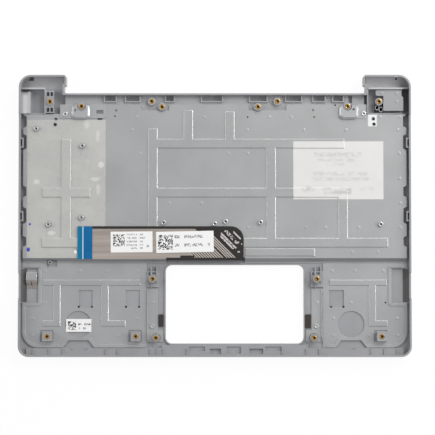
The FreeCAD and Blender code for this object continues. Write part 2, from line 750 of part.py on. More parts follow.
def left_palm_beads():
    end = left_palm_inner
    return (
        palm_bead_across(LEFT, 17.6, end - 4.5, BEAD_ACROSS_Y),
        palm_bead_across(LEFT, 25.4, 30.8, (BEAD_FOOT_Y[0], BEAD_ACROSS_Y[1])),
        palm_bead_across(LEFT, 60.9, 66.4, (BEAD_FOOT_Y[0], BEAD_ACROSS_Y[1])),
        palm_bead_across(LEFT, 17.4, 30.8, BEAD_FOOT_Y),
        palm_bead_across(LEFT, 60.9, end - 15.7, BEAD_FOOT_Y),
    )


def right_palm_beads():
    end = right_palm_inner
    return (
        palm_bead_across(RIGHT, 17.6, end - 4.7, BEAD_ACROSS_Y),
        palm_bead_across(RIGHT, 25.7, 31.2, (BEAD_FOOT_Y[0], BEAD_ACROSS_Y[1])),
        palm_bead_across(RIGHT, 17.3, 31.2, BEAD_FOOT_Y),
    )


def left_palm_plate():
    inner = left_palm_inner
    windows = ((44.4, 54.5, *PALM_WINDOW_Y), (inner - 15.6, inner - 5.2, *PALM_WINDOW_Y), GUIDE_OPENING)
    return palm_plate(LEFT, inner, left_palm_beads(), windows, ("palm_left", "palm_inner"))


def right_palm_plate():
    inner = right_palm_inner
    windows = ((inner - 15.5, inner - 4.4, *PALM_WINDOW_Y),)
    return palm_plate(RIGHT, inner, right_palm_beads(), windows, ("palm_right",))


# Hinge brackets: tab ends and drawn cup, inwards from the side
cup_rise = 1.9
cup_slope = 1.3
cup_r = 3.4


def hinge_bracket(side, tab, cup, small_hole, slot=None):
    """Steel tab with a drawn cup at the hinge screw."""
    z0 = plate_top
    z1 = z0 + plate_t
    blank = slab(rect(*across(side, *tab), plate_rear - 10.2, plate_rear, 1.0), z0, z1)
    x0, x1 = across(side, *cup)
    y0, y1 = plate_rear - 11.0, plate_rear + 0.6
    skin = plate_t * 1.2
    body = ridge(x0, x1, y0, y1, z1, cup_rise, cup_slope, cup_r)
    foot = slab(stepped_rect(x0, x1, y0, y1, cup_r), z0, z1)
    hollow = ridge(x0 + skin, x1 - skin, y0 + skin, y1 + 2, z0, cup_rise, cup_slope, cup_r - skin)
    bracket = blank.fuse([foot, body]).cut(hollow)
    name = "hinge_left" if side == LEFT else "hinge_right"
    cuts = insert_clearances(z0 - 1, ear_h, (name,))
    cuts.append(sided_post(at_side(side, small_hole[0]), plate_rear - small_hole[1], 0.9, z0 - 1, ear_h))
    cuts += [sided_post(x, y, rivet_r + 0.05, z0 - 1, z1 + 1) for x, y in RIVETS]
    if slot:
        cuts.append(box(*across(side, slot[0], slot[1]), plate_rear - 7.0, plate_rear - 4.2, z0 - 1, z1 + 1))
    return bracket.cut(cuts).removeSplitter()


rivet_r = 1.1
RIVETS = ((at_side(LEFT, 34.1), plate_rear - 7.3), (at_side(RIGHT, 34.6), plate_rear - 6.8))


def left_hinge_bracket():
    return hinge_bracket(LEFT, (30.5, 64.1), (38.8, 52.3), (41.8, 4.5), (56.9, 62.5))


def right_hinge_bracket():
    return hinge_bracket(RIGHT, (32.4, 52.0), (38.6, 52.7), (42.2, 3.8))


def hinge_rivets():
    """Rivets with round heads that hold the hinge brackets on the plate."""
    z0, head_z = plate_top, plate_top + plate_t
    rivets = []
    for x, y in RIVETS:
        shank = sided_post(x, y, rivet_r, z0, head_z + 0.1)
        head = sided_post(x, y, 1.8, head_z, head_z + 0.7)
        rivets.append(shank.fuse(head).cut(sided_post(x, y, 0.5, z0 + 0.4, head_z + 2)))
    return Part.makeCompound(rivets)


def right_corner_plate():
    """Flat steel plate with a stepped outline over the right corner bay."""
    z0 = boss_top - plate_t - 0.1
    rear_y, step_y, front_y = y_rear + ear_front - ear_wall - 0.2, y_rear - 1.8, y_rear - 12.9
    points = [(5.3, front_y, 0.0), (5.3, step_y - 1, 0.0), (6.7, step_y, 0.0), (6.7, rear_y, 0.0),
              (25.8, rear_y, 1.5), (25.8, step_y, 1.5), (20.1, step_y, 0.0), (20.1, front_y, 0.0)]
    corners = [(at_side(RIGHT, u), y, r) for u, y, r in points]
    plate = slab(corners, z0, z0 + plate_t)
    x, y = INSERTS["corner_right"]
    return plate.cut(sided_post(x, y, boss_r + boss_clear, z0 - 1, ear_h)).removeSplitter()


def touchpad_bracket(side):
    """Steel strip beside the window, with a folded edge and a hole for the front insert."""
    edge = window_left if side == LEFT else window_right
    near, far = edge + side * 5.6, edge + side * 14.0
    x0, x1 = min(near, far) + 0.15, max(near, far) - 0.15
    y0, y1 = from_front(10.9), from_front(50.5)
    strip = box(x0, x1, y0, y1, deck_t, palm_top)
    foot_x = sorted((edge + side * 1.8, far - side * 1.0))
    foot = box(*foot_x, y0, from_front(19.6), deck_t, palm_top)
    fold_x = x0 if side == LEFT else x1 - 0.6
    fold = box(fold_x, fold_x + 0.6, y0 + 1, y1 - 0.5, palm_top, palm_top + 0.9)
    x, y = INSERTS["pad_front_left" if side == LEFT else "pad_front_right"]
    cuts = [sided_post(x, y, boss_r + boss_clear, deck_t - 1, ear_h),
            sided_post(*BRACKET_SCREWS[side], 0.9, deck_t - 1, ear_h)]
    return strip.fuse([foot, fold]).cut(cuts).removeSplitter()


BRACKET_SCREWS = {LEFT: (window_left - 9.9, from_front(22.4)), RIGHT: (window_right + 9.4, from_front(22.4))}


def screw(x, y, z):
    """Small round head with a driver recess."""
    head = sided_post(x, y, 1.7, z, z + 0.7)
    return head.cut(sided_post(x, y, 0.6, z + 0.25, z + 1))


def bracket_screws():
    return Part.makeCompound([screw(x, y, palm_top) for x, y in BRACKET_SCREWS.values()])


def screw_inserts():
    """Knurled brass inserts, open through their middle."""
    pieces = []
    for x, y in INSERTS.values():
        z0, z1 = boss_top - insert_h, boss_top + insert_proud
        body = sided_post(x, y, insert_r, z0, z1)
        pieces.append(body.cut(post(x, y, insert_bore_r, z0 - 1, z1 + 1)))
    return Part.makeCompound(pieces)


def plate_studs():
    """Hollow standoffs swaged into the keyboard plate."""
    studs = []
    for x, y in STUDS:
        body = sided_post(x, y, stud_r, plate_top, plate_top + stud_h)
        studs.append(body.cut(sided_post(x, y, stud_bore_r, plate_top - 1, plate_top + stud_h + 1)))
    return Part.makeCompound(studs)


def port_ground_spring():
    """Bent spring strip in the left recess that touches the port's shell."""
    x0, x1 = across(LEFT, 5.6, 13.4)
    y0, y1 = from_front(RECESS[0] + 10.45), from_front(RECESS[1] - 2.75)
    t, z0, z1 = 0.3, deck_t, deck_t + 2.6
    ys = (y0, y0 + 2.6, y0 + 5.0, y1 - 2.4, y1)
    points = [(ys[0], z0), (ys[1], z0), (ys[2], z1 - t), (ys[3], z1 - t), (ys[4] - t, z1 - 1.2), (ys[4] - t, z0),
              (ys[4], z0), (ys[4], z1 - 1.0), (ys[3] + 0.2, z1), (ys[2] - 0.3, z1), (ys[1] - 0.3, z0 + t),
              (ys[0], z0 + t)]
    strip = profile_along_x(points, x0, x1)
    gap = box((x0 + x1) / 2 - 0.5, (x0 + x1) / 2 + 0.3, y0 - 1, y0 + 5.4, z0 - 1, z1 + 1)
    return strip.cut(gap)


def foam_block(x0, x1, v0, v1):
    return box(x0, x1, from_front(v0), from_front(v1), deck_t, deck_t + 1.4)


def laid_film(corners, thickness, holes):
    """Thin sheet that follows the channels of the keyboard plate, a layer of glue above it."""
    region = slab(corners, plate_top - 1, plate_top + plate_rise + 1)
    z0 = plate_top + glue_t
    flat = slab(corners, z0, z0 + thickness)
    g, t = glue_t, glue_t + thickness
    over = [
        ridge(x0 - t, x1 + t, y0 - t, y1 + t, z0, plate_rise + thickness, plate_slope).common(region)
        for x0, x1, y0, y1 in CHANNELS
    ]
    over = [piece for piece in over if piece.Volume > 0.01]
    under = [
        ridge(x0 - g, x1 + g, y0 - g, y1 + g, plate_top - 0.1, plate_rise + 0.1 + g, plate_slope)
        for x0, x1, y0, y1 in CHANNELS
    ]
    sheet = flat.fuse(over).cut(under)
    return sheet.cut(holes).removeSplitter()


film_edge = at_side(LEFT, 64.1)
PALM_LABEL = (35.0, 53.7, 18.35, 27.85)      # inwards from the side, and from the front edge


def insulation_film():
    rear = plate_rear - 11.4
    corners = rect(-plate_x + bite_depth + 0.6, film_edge, plate_front + 0.1, rear)
    holes = [sided_post(x, y, stud_r + 0.7, plate_top - 1, plate_top + 3) for x, y in STUDS if x < film_edge]
    return laid_film(corners, film_t, holes)


def keyboard_flex_tail():
    """Printed film from under the plate, folded round its front edge and laid back over it."""
    z0, z1 = tail_z, tail_z + tail_t
    flat = slab([(tail_left, tail_front, 0), (tail_right, tail_front, 0), (tail_right, tail_rear, tail_corner_r),
                 (tail_left, tail_rear, 0)], z0, z1)
    low_z = membrane_z
    outer_r = (z1 - low_z) / 2
    inner_r = outer_r - tail_t
    middle = low_z + outer_r
    x0, x1 = TAIL_FOLD_X[0] + 0.6, tail_right
    axis = Vector(1, 0, 0)
    bend = Part.makeCylinder(outer_r, x1 - x0, Vector(x0, tail_front, middle), axis)
    bend = bend.cut(Part.makeCylinder(inner_r, x1 - x0, Vector(x0, tail_front, middle), axis))
    bend = bend.cut(box(x0 - 1, x1 + 1, tail_front, tail_front + 5, low_z - 1, z1 + 1))
    under = box(x0, x1, tail_front, well_y0 + 0.1, low_z, low_z + tail_t)
    return flat.fuse([bend, under]).removeSplitter()


def flex_stiffener():
    z = tail_z + tail_t
    return box(tail_left, tail_left + stiffener_width, tail_front + 0.1, tail_rear - 0.1, z, z + stiffener_t)


# Labels on the tail: start and width along the tail, depth and turn
LEFT_LABEL = (24.5, 30.9, 15.4, 0.5)
RIGHT_LABEL = (58.1, 42.5, 15.6, 1.2)
label_foot = 5.0


def tail_label(start, run, depth, turn):
    x0, y0, z0 = tail_left + start, tail_front + label_foot, tail_z + tail_t
    label = box(x0, x0 + run, y0, y0 + depth, z0, z0 + label_t)
    label.rotate(Vector(x0 + run / 2, y0 + depth / 2, z0), Vector(0, 0, 1), turn)
    return label


large_label_width = 66.8
large_label_depth = 43.1


def large_label():
    x1, y1 = at_side(RIGHT, 20.1), plate_rear - 27.4
    return laid_film(rect(x1 - large_label_width, x1, y1 - large_label_depth, y1), label_t, [])


def palm_label():
    near, far, v0, v1 = PALM_LABEL
    return box(*across(LEFT, near, far), from_front(v0), from_front(v1), palm_top, palm_top + label_t)


def build():
    nodes = {
        "palm_rest_shell": palm_rest_shell(),
        "keyboard_bezel": keyboard_bezel(),
        "membrane_with_like_keys": like_keys(),
        "keyboard_back_plate": keyboard_back_plate(),
        "left_palm_plate": left_palm_plate(),
        "right_palm_plate": right_palm_plate(),
        "left_hinge_bracket": left_hinge_bracket(),
        "right_hinge_bracket": right_hinge_bracket(),
        "hinge_rivets": hinge_rivets(),
        "right_corner_plate": right_corner_plate(),
        "left_touchpad_bracket": touchpad_bracket(LEFT),
        "right_touchpad_bracket": touchpad_bracket(RIGHT),
        "bracket_screws": bracket_screws(),
        "screw_inserts": screw_inserts(),
        "plate_studs": plate_studs(),
        "port_ground_spring": port_ground_spring(),
        "left_foam_block": foam_block(window_left - 5.1, window_left - 1.8, 22.25, 31.25),
        "right_foam_block": foam_block(window_right + 1.3, window_right + 5.3, 21.25, 31.25),
        "insulation_film": insulation_film(),
        "keyboard_flex_tail": keyboard_flex_tail(),
        "flex_stiffener": flex_stiffener(),
        "flex_label_left": tail_label(*LEFT_LABEL),
        "flex_label_right": tail_label(*RIGHT_LABEL),
        "large_label": large_label(),
        "palm_label": palm_label(),
    }
    for name, place in NAMED_KEYS.items():
        nodes[name] = keycap(*place)
    return nodes


os.makedirs("parts", exist_ok=True)
for node, shape in build().items():
    shape.exportStep("parts/" + node + ".step")
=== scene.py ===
import json
import math

import bmesh
import bpy
from mathutils import Matrix, Vector


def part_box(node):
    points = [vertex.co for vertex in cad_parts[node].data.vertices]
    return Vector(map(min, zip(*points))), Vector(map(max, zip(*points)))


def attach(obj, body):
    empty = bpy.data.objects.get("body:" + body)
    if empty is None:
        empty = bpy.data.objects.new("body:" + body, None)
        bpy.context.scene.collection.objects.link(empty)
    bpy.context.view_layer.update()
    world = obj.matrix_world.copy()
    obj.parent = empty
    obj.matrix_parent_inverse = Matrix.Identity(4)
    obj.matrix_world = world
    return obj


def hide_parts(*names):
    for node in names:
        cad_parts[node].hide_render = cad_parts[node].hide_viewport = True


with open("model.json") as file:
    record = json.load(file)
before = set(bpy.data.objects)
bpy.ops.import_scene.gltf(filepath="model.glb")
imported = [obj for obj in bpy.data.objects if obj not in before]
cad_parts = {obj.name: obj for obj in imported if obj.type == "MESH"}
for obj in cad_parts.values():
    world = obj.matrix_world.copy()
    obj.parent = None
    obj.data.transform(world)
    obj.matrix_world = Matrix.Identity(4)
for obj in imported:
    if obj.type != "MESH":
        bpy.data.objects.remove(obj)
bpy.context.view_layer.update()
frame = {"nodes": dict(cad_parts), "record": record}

nodes = frame["nodes"]
scene = bpy.context.scene
scene.view_settings.view_transform = "Standard"

# Camera: a long lens looks straight down on the inside of the cover, from slightly in front of its middle.
view_middle = Vector((0.0020, -0.0013, 0.0050))
view_width = 0.3218
view_distance = 1.10
view_lean = math.radians(2.2)
bpy.ops.object.camera_add(
    location=view_middle + view_distance * Vector((0.0, -math.sin(view_lean), math.cos(view_lean))),
    rotation=(view_lean, 0.0, 0.0),
)
copy_camera = bpy.context.object
copy_camera.name = "copy_camera"
copy_camera.data.sensor_width = 36.0
copy_camera.data.lens = 36.0 * view_distance / view_width
scene.camera = copy_camera

# Room: white all round, as inside a light tent. What the camera sees of it is plain white.
room = bpy.data.worlds.new("light_tent")
scene.world = room
room.use_nodes = True
tent = room.node_tree
tent_light = tent.nodes["Background"]
tent_light.inputs["Color"].default_value = (0.94, 0.96, 1.0, 1.0)
tent_light.inputs["Strength"].default_value = 0.43
tent_white = tent.nodes.new("ShaderNodeBackground")
tent_white.inputs["Color"].default_value = (1.0, 1.0, 1.0, 1.0)
tent_white.inputs["Strength"].default_value = 1.0
tent_ray = tent.nodes.new("ShaderNodeLightPath")
tent_mix = tent.nodes.new("ShaderNodeMixShader")
tent.links.new(tent_ray.outputs["Is Camera Ray"], tent_mix.inputs["Fac"])
tent.links.new(tent_light.outputs["Background"], tent_mix.inputs[1])
tent.links.new(tent_white.outputs["Background"], tent_mix.inputs[2])
tent.links.new(tent_mix.outputs["Shader"], tent.nodes["World Output"].inputs["Surface"])

# Floor: a white table top that keeps the cover's soft shadow. It is clear from below and lets the tent's light
# through, to show the user face.
table_white_share = 0.94
bpy.ops.mesh.primitive_plane_add(size=4.0, location=(0.0, 0.0, -0.0002))
table_top = bpy.context.object
table_top.name = "table_top"
table_paint = bpy.data.materials.new("table_paint")
table_paint.use_nodes = True
paint = table_paint.node_tree
paint.nodes["Principled BSDF"].inputs["Base Color"].default_value = (0.88, 0.88, 0.88, 1.0)
paint.nodes["Principled BSDF"].inputs["Roughness"].default_value = 0.9
paint_glow = paint.nodes.new("ShaderNodeEmission")
paint_glow.inputs["Strength"].default_value = 1.0
paint_ray = paint.nodes.new("ShaderNodeLightPath")
paint_direct = paint.nodes.new("ShaderNodeMath")
paint_direct.operation = "MAXIMUM"
paint_seen = paint.nodes.new("ShaderNodeMath")
paint_seen.operation = "MAXIMUM"
paint_share = paint.nodes.new("ShaderNodeMath")
paint_share.operation = "MULTIPLY"
paint_share.inputs[1].default_value = table_white_share
paint_mix = paint.nodes.new("ShaderNodeMixShader")
paint.links.new(paint_ray.outputs["Is Camera Ray"], paint_direct.inputs[0])
paint.links.new(paint_ray.outputs["Is Glossy Ray"], paint_direct.inputs[1])
paint.links.new(paint_direct.outputs["Value"], paint_seen.inputs[0])
paint.links.new(paint_ray.outputs["Is Transmission Ray"], paint_seen.inputs[1])
paint.links.new(paint_seen.outputs["Value"], paint_share.inputs[0])
paint.links.new(paint_share.outputs["Value"], paint_mix.inputs["Fac"])
paint.links.new(paint.nodes["Principled BSDF"].outputs["BSDF"], paint_mix.inputs[1])
paint.links.new(paint_glow.outputs["Emission"], paint_mix.inputs[2])
paint_side = paint.nodes.new("ShaderNodeNewGeometry")
paint_clear = paint.nodes.new("ShaderNodeBsdfTransparent")
paint_two_sides = paint.nodes.new("ShaderNodeMixShader")
paint_light = paint.nodes.new("ShaderNodeMath")
paint_light.operation = "MAXIMUM"
paint_open = paint.nodes.new("ShaderNodeMath")
paint_open.operation = "MAXIMUM"
paint.links.new(paint_ray.outputs["Is Diffuse Ray"], paint_light.inputs[0])
paint.links.new(paint_ray.outputs["Is Shadow Ray"], paint_light.inputs[1])
paint.links.new(paint_light.outputs["Value"], paint_open.inputs[0])
paint.links.new(paint_side.outputs["Backfacing"], paint_open.inputs[1])
paint.links.new(paint_open.outputs["Value"], paint_two_sides.inputs["Fac"])
paint.links.new(paint_mix.outputs["Shader"], paint_two_sides.inputs[1])
paint.links.new(paint_clear.outputs["BSDF"], paint_two_sides.inputs[2])
paint.links.new(paint_two_sides.outputs["Shader"], paint.nodes["Material Output"].inputs["Surface"])
table_top.data.materials.append(table_paint)

# Lights: soft boxes. The strongest stands behind the hinge edge on the right. Low ones on the right, at the back and
# on the left pick out the slopes that face them, and a weak one in front fills the shadows.
soft_boxes = (
    ("rear_right_box", (0.80, 0.75, 0.85), 0.6, 10.5),
    ("low_right_box", (1.25, 0.10, 0.50), 0.5, 9.0),
    ("low_rear_box", (0.10, 1.25, 0.55), 0.5, 5.0),
    ("left_box", (-1.15, 0.25, 0.55), 0.6, 5.5),
    ("front_box", (0.1, -1.0, 1.1), 0.8, 0.3),
)
for box_name, box_place, box_size, box_power in soft_boxes:
    bpy.ops.object.light_add(type="AREA", location=box_place)
    soft_box = bpy.context.object
    soft_box.name = box_name
    soft_box.data.size = box_size
    soft_box.data.energy = box_power
    soft_box.rotation_euler = (-Vector(box_place)).to_track_quat("-Z", "Y").to_euler()

# Moulded cover: one injection moulding of silver-grey plastic, with a fine spark-eroded skin all over.
# The steel and brass pieces are heat-staked and pressed into it. Its inside has painted light, placed in millimetres:
# painted highlights on the arch and a peg rim, painted light on ears and rear strip, painted shade in port sides, gaps,
# pits.
mm = 0.001
cover_colour = (0.298, 0.297, 0.305)
rear_strip_painted_light = (0.335, 0.334, 0.341)
ear_painted_light = (0.455, 0.453, 0.460)
peg_highlight_colour = (0.50, 0.50, 0.505)
arch_highlight_colour = (0.58, 0.575, 0.58)
port_side_painted_shade = (0.045, 0.043, 0.041)
gap_painted_shade = (0.075, 0.073, 0.072)
pit_painted_shade = (0.03, 0.03, 0.032)
user_skin = 0.7
pocket_slant = -239.2


def link(material, source, socket, target, to):
    material.node_tree.links.new(source.outputs[socket], target.inputs[to])


def speckled(material, grain, share, detail=3.0, seed=0.0, stretch=(1.0, 1.0, 1.0)):
    """Noise on Object coordinates: grain is the size of a speck in metres."""
    tree = material.node_tree
    place = tree.nodes.new("ShaderNodeTexCoord")
    shift = tree.nodes.new("ShaderNodeMapping")
    shift.inputs["Location"].default_value = (seed, seed, seed)
    shift.inputs["Scale"].default_value = stretch
    specks = tree.nodes.new("ShaderNodeTexNoise")
    specks.inputs["Scale"].default_value = 1.0 / grain
    specks.inputs["Detail"].default_value = detail
    specks.inputs["Roughness"].default_value = share
    link(material, place, "Object", shift, "Vector")
    link(material, shift, "Vector", specks, "Vector")
    return specks


def shaded(material, source, socket, colour, contrast, low=0.3, high=0.7):
    """Colour ramp from a darker to a lighter shade of one colour."""
    shades = material.node_tree.nodes.new("ShaderNodeValToRGB")
    shades.color_ramp.elements[0].position = low
    shades.color_ramp.elements[0].color = (*[c * (1 - contrast) for c in colour], 1.0)
    shades.color_ramp.elements[1].position = high
    shades.color_ramp.elements[1].color = (*[min(c * (1 + contrast), 1.0) for c in colour], 1.0)
    link(material, source, socket, shades, "Fac")
    return shades


def moulded_plastic(name, colour, roughness, skin=0.00035, skin_depth=0.00004, unevenness=0.06):
    """Plastic from an eroded mould: faint cloudy shade, fine pitted skin."""
    material = bpy.data.materials.new(name)
    material.use_nodes = True
    shader = material.node_tree.nodes["Principled BSDF"]
    clouds = speckled(material, 0.022, 0.55)
    shades = shaded(material, clouds, "Fac", colour, unevenness)
    link(material, shades, "Color", shader, "Base Color")
    pits = speckled(material, skin, 0.6, seed=0.3)
    skin_bump = material.node_tree.nodes.new("ShaderNodeBump")
    skin_bump.inputs["Strength"].default_value = 0.35
    skin_bump.inputs["Distance"].default_value = skin_depth
    link(material, pits, "Fac", skin_bump, "Height")
    link(material, skin_bump, "Normal", shader, "Normal")
    shader.inputs["Roughness"].default_value = roughness
    shader.inputs["Specular IOR Level"].default_value = 0.4
    return material


def reckon(material, operation, first, second=0.0):
    """One Math node. Each value is a number or the output of another node."""
    step = material.node_tree.nodes.new("ShaderNodeMath")
    step.operation = operation
    for socket, value in zip(step.inputs, (first, second)):
        if isinstance(value, (int, float)):
            socket.default_value = value
        else:
            material.node_tree.links.new(value, socket)
    return step.outputs["Value"]


def within(material, value, low, high):
    above = reckon(material, "GREATER_THAN", value, low)
    below = reckon(material, "LESS_THAN", value, high)
    return reckon(material, "MULTIPLY", above, below)


def fading(material, value, empty, full):
    """0 at the first value, 1 at the second, smooth between them."""
    fade = material.node_tree.nodes.new("ShaderNodeMapRange")
    fade.interpolation_type = "SMOOTHSTEP"
    fade.inputs["From Min"].default_value = empty
    fade.inputs["From Max"].default_value = full
    material.node_tree.links.new(value, fade.inputs["Value"])
    return fade.outputs["Result"]


def patch(material, x, y, x0, x1, y0, y1, edge):
    """1 inside a rectangle, fading to 0 over its edge."""
    sides = [fading(material, x, x0 - edge, x0 + edge), fading(material, x, x1 + edge, x1 - edge),
             fading(material, y, y0 - edge, y0 + edge), fading(material, y, y1 + edge, y1 - edge)]
    share = sides[0]
    for side in sides[1:]:
        share = reckon(material, "MULTIPLY", share, side)
    return share


def either(material, *shares):
    most = shares[0]
    for share in shares[1:]:
        most = reckon(material, "MAXIMUM", most, share)
    return most


def round_spots(material, x, y, middles, radius):
    """1 inside small circles."""
    spots = []
    for middle_x, middle_y in middles:
        across = reckon(material, "POWER", reckon(material, "ABSOLUTE", reckon(material, "SUBTRACT", x, middle_x)), 2.0)
        along = reckon(material, "POWER", reckon(material, "ABSOLUTE", reckon(material, "SUBTRACT", y, middle_y)), 2.0)
        spots.append(reckon(material, "LESS_THAN", reckon(material, "ADD", across, along), radius ** 2))
    return either(material, *spots)


def in_millimetres(material, corner=(0.0, 0.0), turn=0.0):
    """X and Y on the piece, in millimetres from a corner."""
    tree = material.node_tree
    place = tree.nodes.new("ShaderNodeTexCoord")
    frame_of_print = tree.nodes.new("ShaderNodeMapping")
    frame_of_print.vector_type = "TEXTURE"
    frame_of_print.inputs["Location"].default_value = (corner[0] * mm, corner[1] * mm, 0.0)
    frame_of_print.inputs["Rotation"].default_value = (0.0, 0.0, math.radians(turn))
    frame_of_print.inputs["Scale"].default_value = (mm, mm, mm)
    axes = tree.nodes.new("ShaderNodeSeparateXYZ")
    link(material, place, "Object", frame_of_print, "Vector")
    link(material, frame_of_print, "Vector", axes, "Vector")
    return axes.outputs["X"], axes.outputs["Y"], axes.outputs["Z"]


def printed(material, base_socket, share, colour):
    """Lays a colour over a material's base colour where share is 1."""
    tree = material.node_tree
    shader = tree.nodes["Principled BSDF"]
    layer = tree.nodes.new("ShaderNodeMix")
    layer.data_type = "RGBA"
    tree.links.new(share, layer.inputs["Factor"])
    tree.links.new(base_socket, layer.inputs["A"])
    layer.inputs["B"].default_value = (*colour, 1.0)
    tree.links.new(layer.outputs["Result"], shader.inputs["Base Color"])
    return layer.outputs["Result"]


def base_of(material):
    return material.node_tree.nodes["Principled BSDF"].inputs["Base Color"].links[0].from_socket


def eased(name, rounding, material, segments=2):
    """Copy of a CAD piece with its sharp edges rounded, in that piece's place."""
    mesh = nodes[name].data.copy()
    mesh.transform(nodes[name].matrix_world)
    piece = bpy.data.objects.new(name + "_eased", mesh)
    scene.collection.objects.link(piece)
    shape = bmesh.new()
    shape.from_mesh(mesh)
    bmesh.ops.remove_doubles(shape, verts=shape.verts, dist=0.000002)
    bmesh.ops.dissolve_limit(shape, angle_limit=math.radians(1), verts=shape.verts, edges=shape.edges)
    shape.to_mesh(mesh)
    shape.free()
    bpy.ops.object.select_all(action="DESELECT")
    piece.select_set(True)
    bpy.context.view_layer.objects.active = piece
    edge = piece.modifiers.new("edge", "BEVEL")
    edge.width = rounding
    edge.segments = segments
    edge.limit_method = "ANGLE"
    edge.angle_limit = math.radians(32)
    bpy.ops.object.modifier_apply(modifier="edge")
    bpy.ops.object.shade_smooth_by_angle(angle=math.radians(40))
    level = piece.modifiers.new("level", "WEIGHTED_NORMAL")
    level.keep_sharp = True
    bpy.ops.object.modifier_apply(modifier="level")
    mesh.materials.clear()
    mesh.materials.append(material)
    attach(piece, body_of[name])
    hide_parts(name)
    return piece


record = frame["record"]
body_of = {name: body for body, names in record["behaviour"]["bodies"].items() for name in names}
# Bottom corners of the palm windows, where painted shade spots go on the cover and the plates.
window_corner_shade_spots = ((-100.6, -67.3), (-91.0, -67.3), (-65.7, -67.3), (-56.1, -67.3), (86.1, -67.3), (95.2, -67.3))
cover_plastic = moulded_plastic("cover_plastic", cover_colour, 0.50)
cover_x, cover_y, cover_z = in_millimetres(cover_plastic)
inside = reckon(cover_plastic, "GREATER_THAN", cover_z, user_skin)
side_distance = reckon(cover_plastic, "ABSOLUTE", cover_x)
# Painted shade on the inner port sides, which lie in deep dark gaps.
port_side_shade = patch(cover_plastic, side_distance, cover_y, 139.2, 143.6, -64.0, -39.2, 0.3)
port_side_shade = reckon(cover_plastic, "MULTIPLY", port_side_shade, reckon(cover_plastic, "MULTIPLY", inside, 0.85))
cover_shade = printed(cover_plastic, base_of(cover_plastic), port_side_shade, port_side_painted_shade)
# Painted highlight on the arch of the left corner bay.
arch_painted_highlight = patch(cover_plastic, cover_x, cover_y, -142.5, -138.6, 75.0, 90.0, 1.6)
cover_shade = printed(
    cover_plastic, cover_shade, reckon(cover_plastic, "MULTIPLY", arch_painted_highlight, inside), arch_highlight_colour)
# Painted light: the ears' hollows, below their rim, are painted lighter than the rest of the cover.
ear_light_share = reckon(cover_plastic, "MULTIPLY", patch(cover_plastic, side_distance, cover_y, 105, 138, 92, 103.4, 3.0),
                    reckon(cover_plastic, "MULTIPLY", inside, fading(cover_plastic, cover_z, 8.8, 7.6)))
cover_shade = printed(cover_plastic, cover_shade, ear_light_share, ear_painted_light)
# Painted light: the rear strip is painted lighter than the rest of the cover.
rear_strip_lit_share = reckon(cover_plastic, "MULTIPLY", inside,
                    patch(cover_plastic, cover_x, cover_y, -111.0, 111.0, 81.0, 89.8, 0.8))
cover_shade = printed(cover_plastic, cover_shade, rear_strip_lit_share, rear_strip_painted_light)
# Painted shade in the gap of the right corner bay, along the side wall.
corner_gap_shade = reckon(cover_plastic, "MULTIPLY", inside,
                    patch(cover_plastic, cover_x, cover_y, 139.4, 143.8, 74.6, 94.5, 0.5))
cover_shade = printed(
    cover_plastic, cover_shade, reckon(cover_plastic, "MULTIPLY", corner_gap_shade, 0.85), gap_painted_shade)
# Painted shade in the left bay's slot, the ear's pocket, the peg's hole and the window corners.
left_slot_shade = patch(cover_plastic, cover_x, cover_y, -142.8, -138.2, 91.7, 92.9, 0.2)
ear_pocket_shade = reckon(
    cover_plastic, "MULTIPLY",
    reckon(cover_plastic, "MULTIPLY", within(cover_plastic, cover_x, -138.4, -134.2),
           within(cover_plastic, cover_y, 100.4, 102.6)),
    reckon(cover_plastic, "GREATER_THAN", reckon(cover_plastic, "SUBTRACT", cover_x, cover_y), pocket_slant))
ear_peg = ((134.6, 101.6),)
# Painted highlight: a pale ring on the rim of the ear's peg hole.
peg_rim_highlight = reckon(cover_plastic, "MULTIPLY", inside, round_spots(cover_plastic, cover_x, cover_y, ear_peg, 1.7))
cover_shade = printed(cover_plastic, cover_shade, peg_rim_highlight, peg_highlight_colour)
# These pits are painted near black: painted shade for hollows that are not modelled.
pits = either(cover_plastic, round_spots(cover_plastic, cover_x, cover_y, ear_peg, 0.9), ear_pocket_shade, left_slot_shade,
              round_spots(cover_plastic, cover_x, cover_y, window_corner_shade_spots, 0.8))
pits = reckon(cover_plastic, "MULTIPLY", pits, inside)
printed(cover_plastic, cover_shade, reckon(cover_plastic, "MULTIPLY", pits, 0.9), pit_painted_shade)
eased("palm_rest_shell", 0.00022, cover_plastic)

# Key lattice and keys: dark moulded plastic. The caps have a finer, softer skin than the lattice.
lattice_plastic = moulded_plastic("lattice_plastic", (0.055, 0.055, 0.058), 0.55)


def dress(material, name):
    for slot in nodes[name].material_slots:
        slot.material = material


dress(lattice_plastic, "keyboard_bezel")
key_plastic = moulded_plastic("key_plastic", (0.030, 0.030, 0.032), 0.42, skin=0.00022, skin_depth=0.00002)
odd_keys = [name for name in nodes if name.endswith("_key") or name == "space_bar"]
for name in odd_keys:
    eased(name, 0.00030, key_plastic, 3)
eased("membrane_with_like_keys", 0.00030, key_plastic)

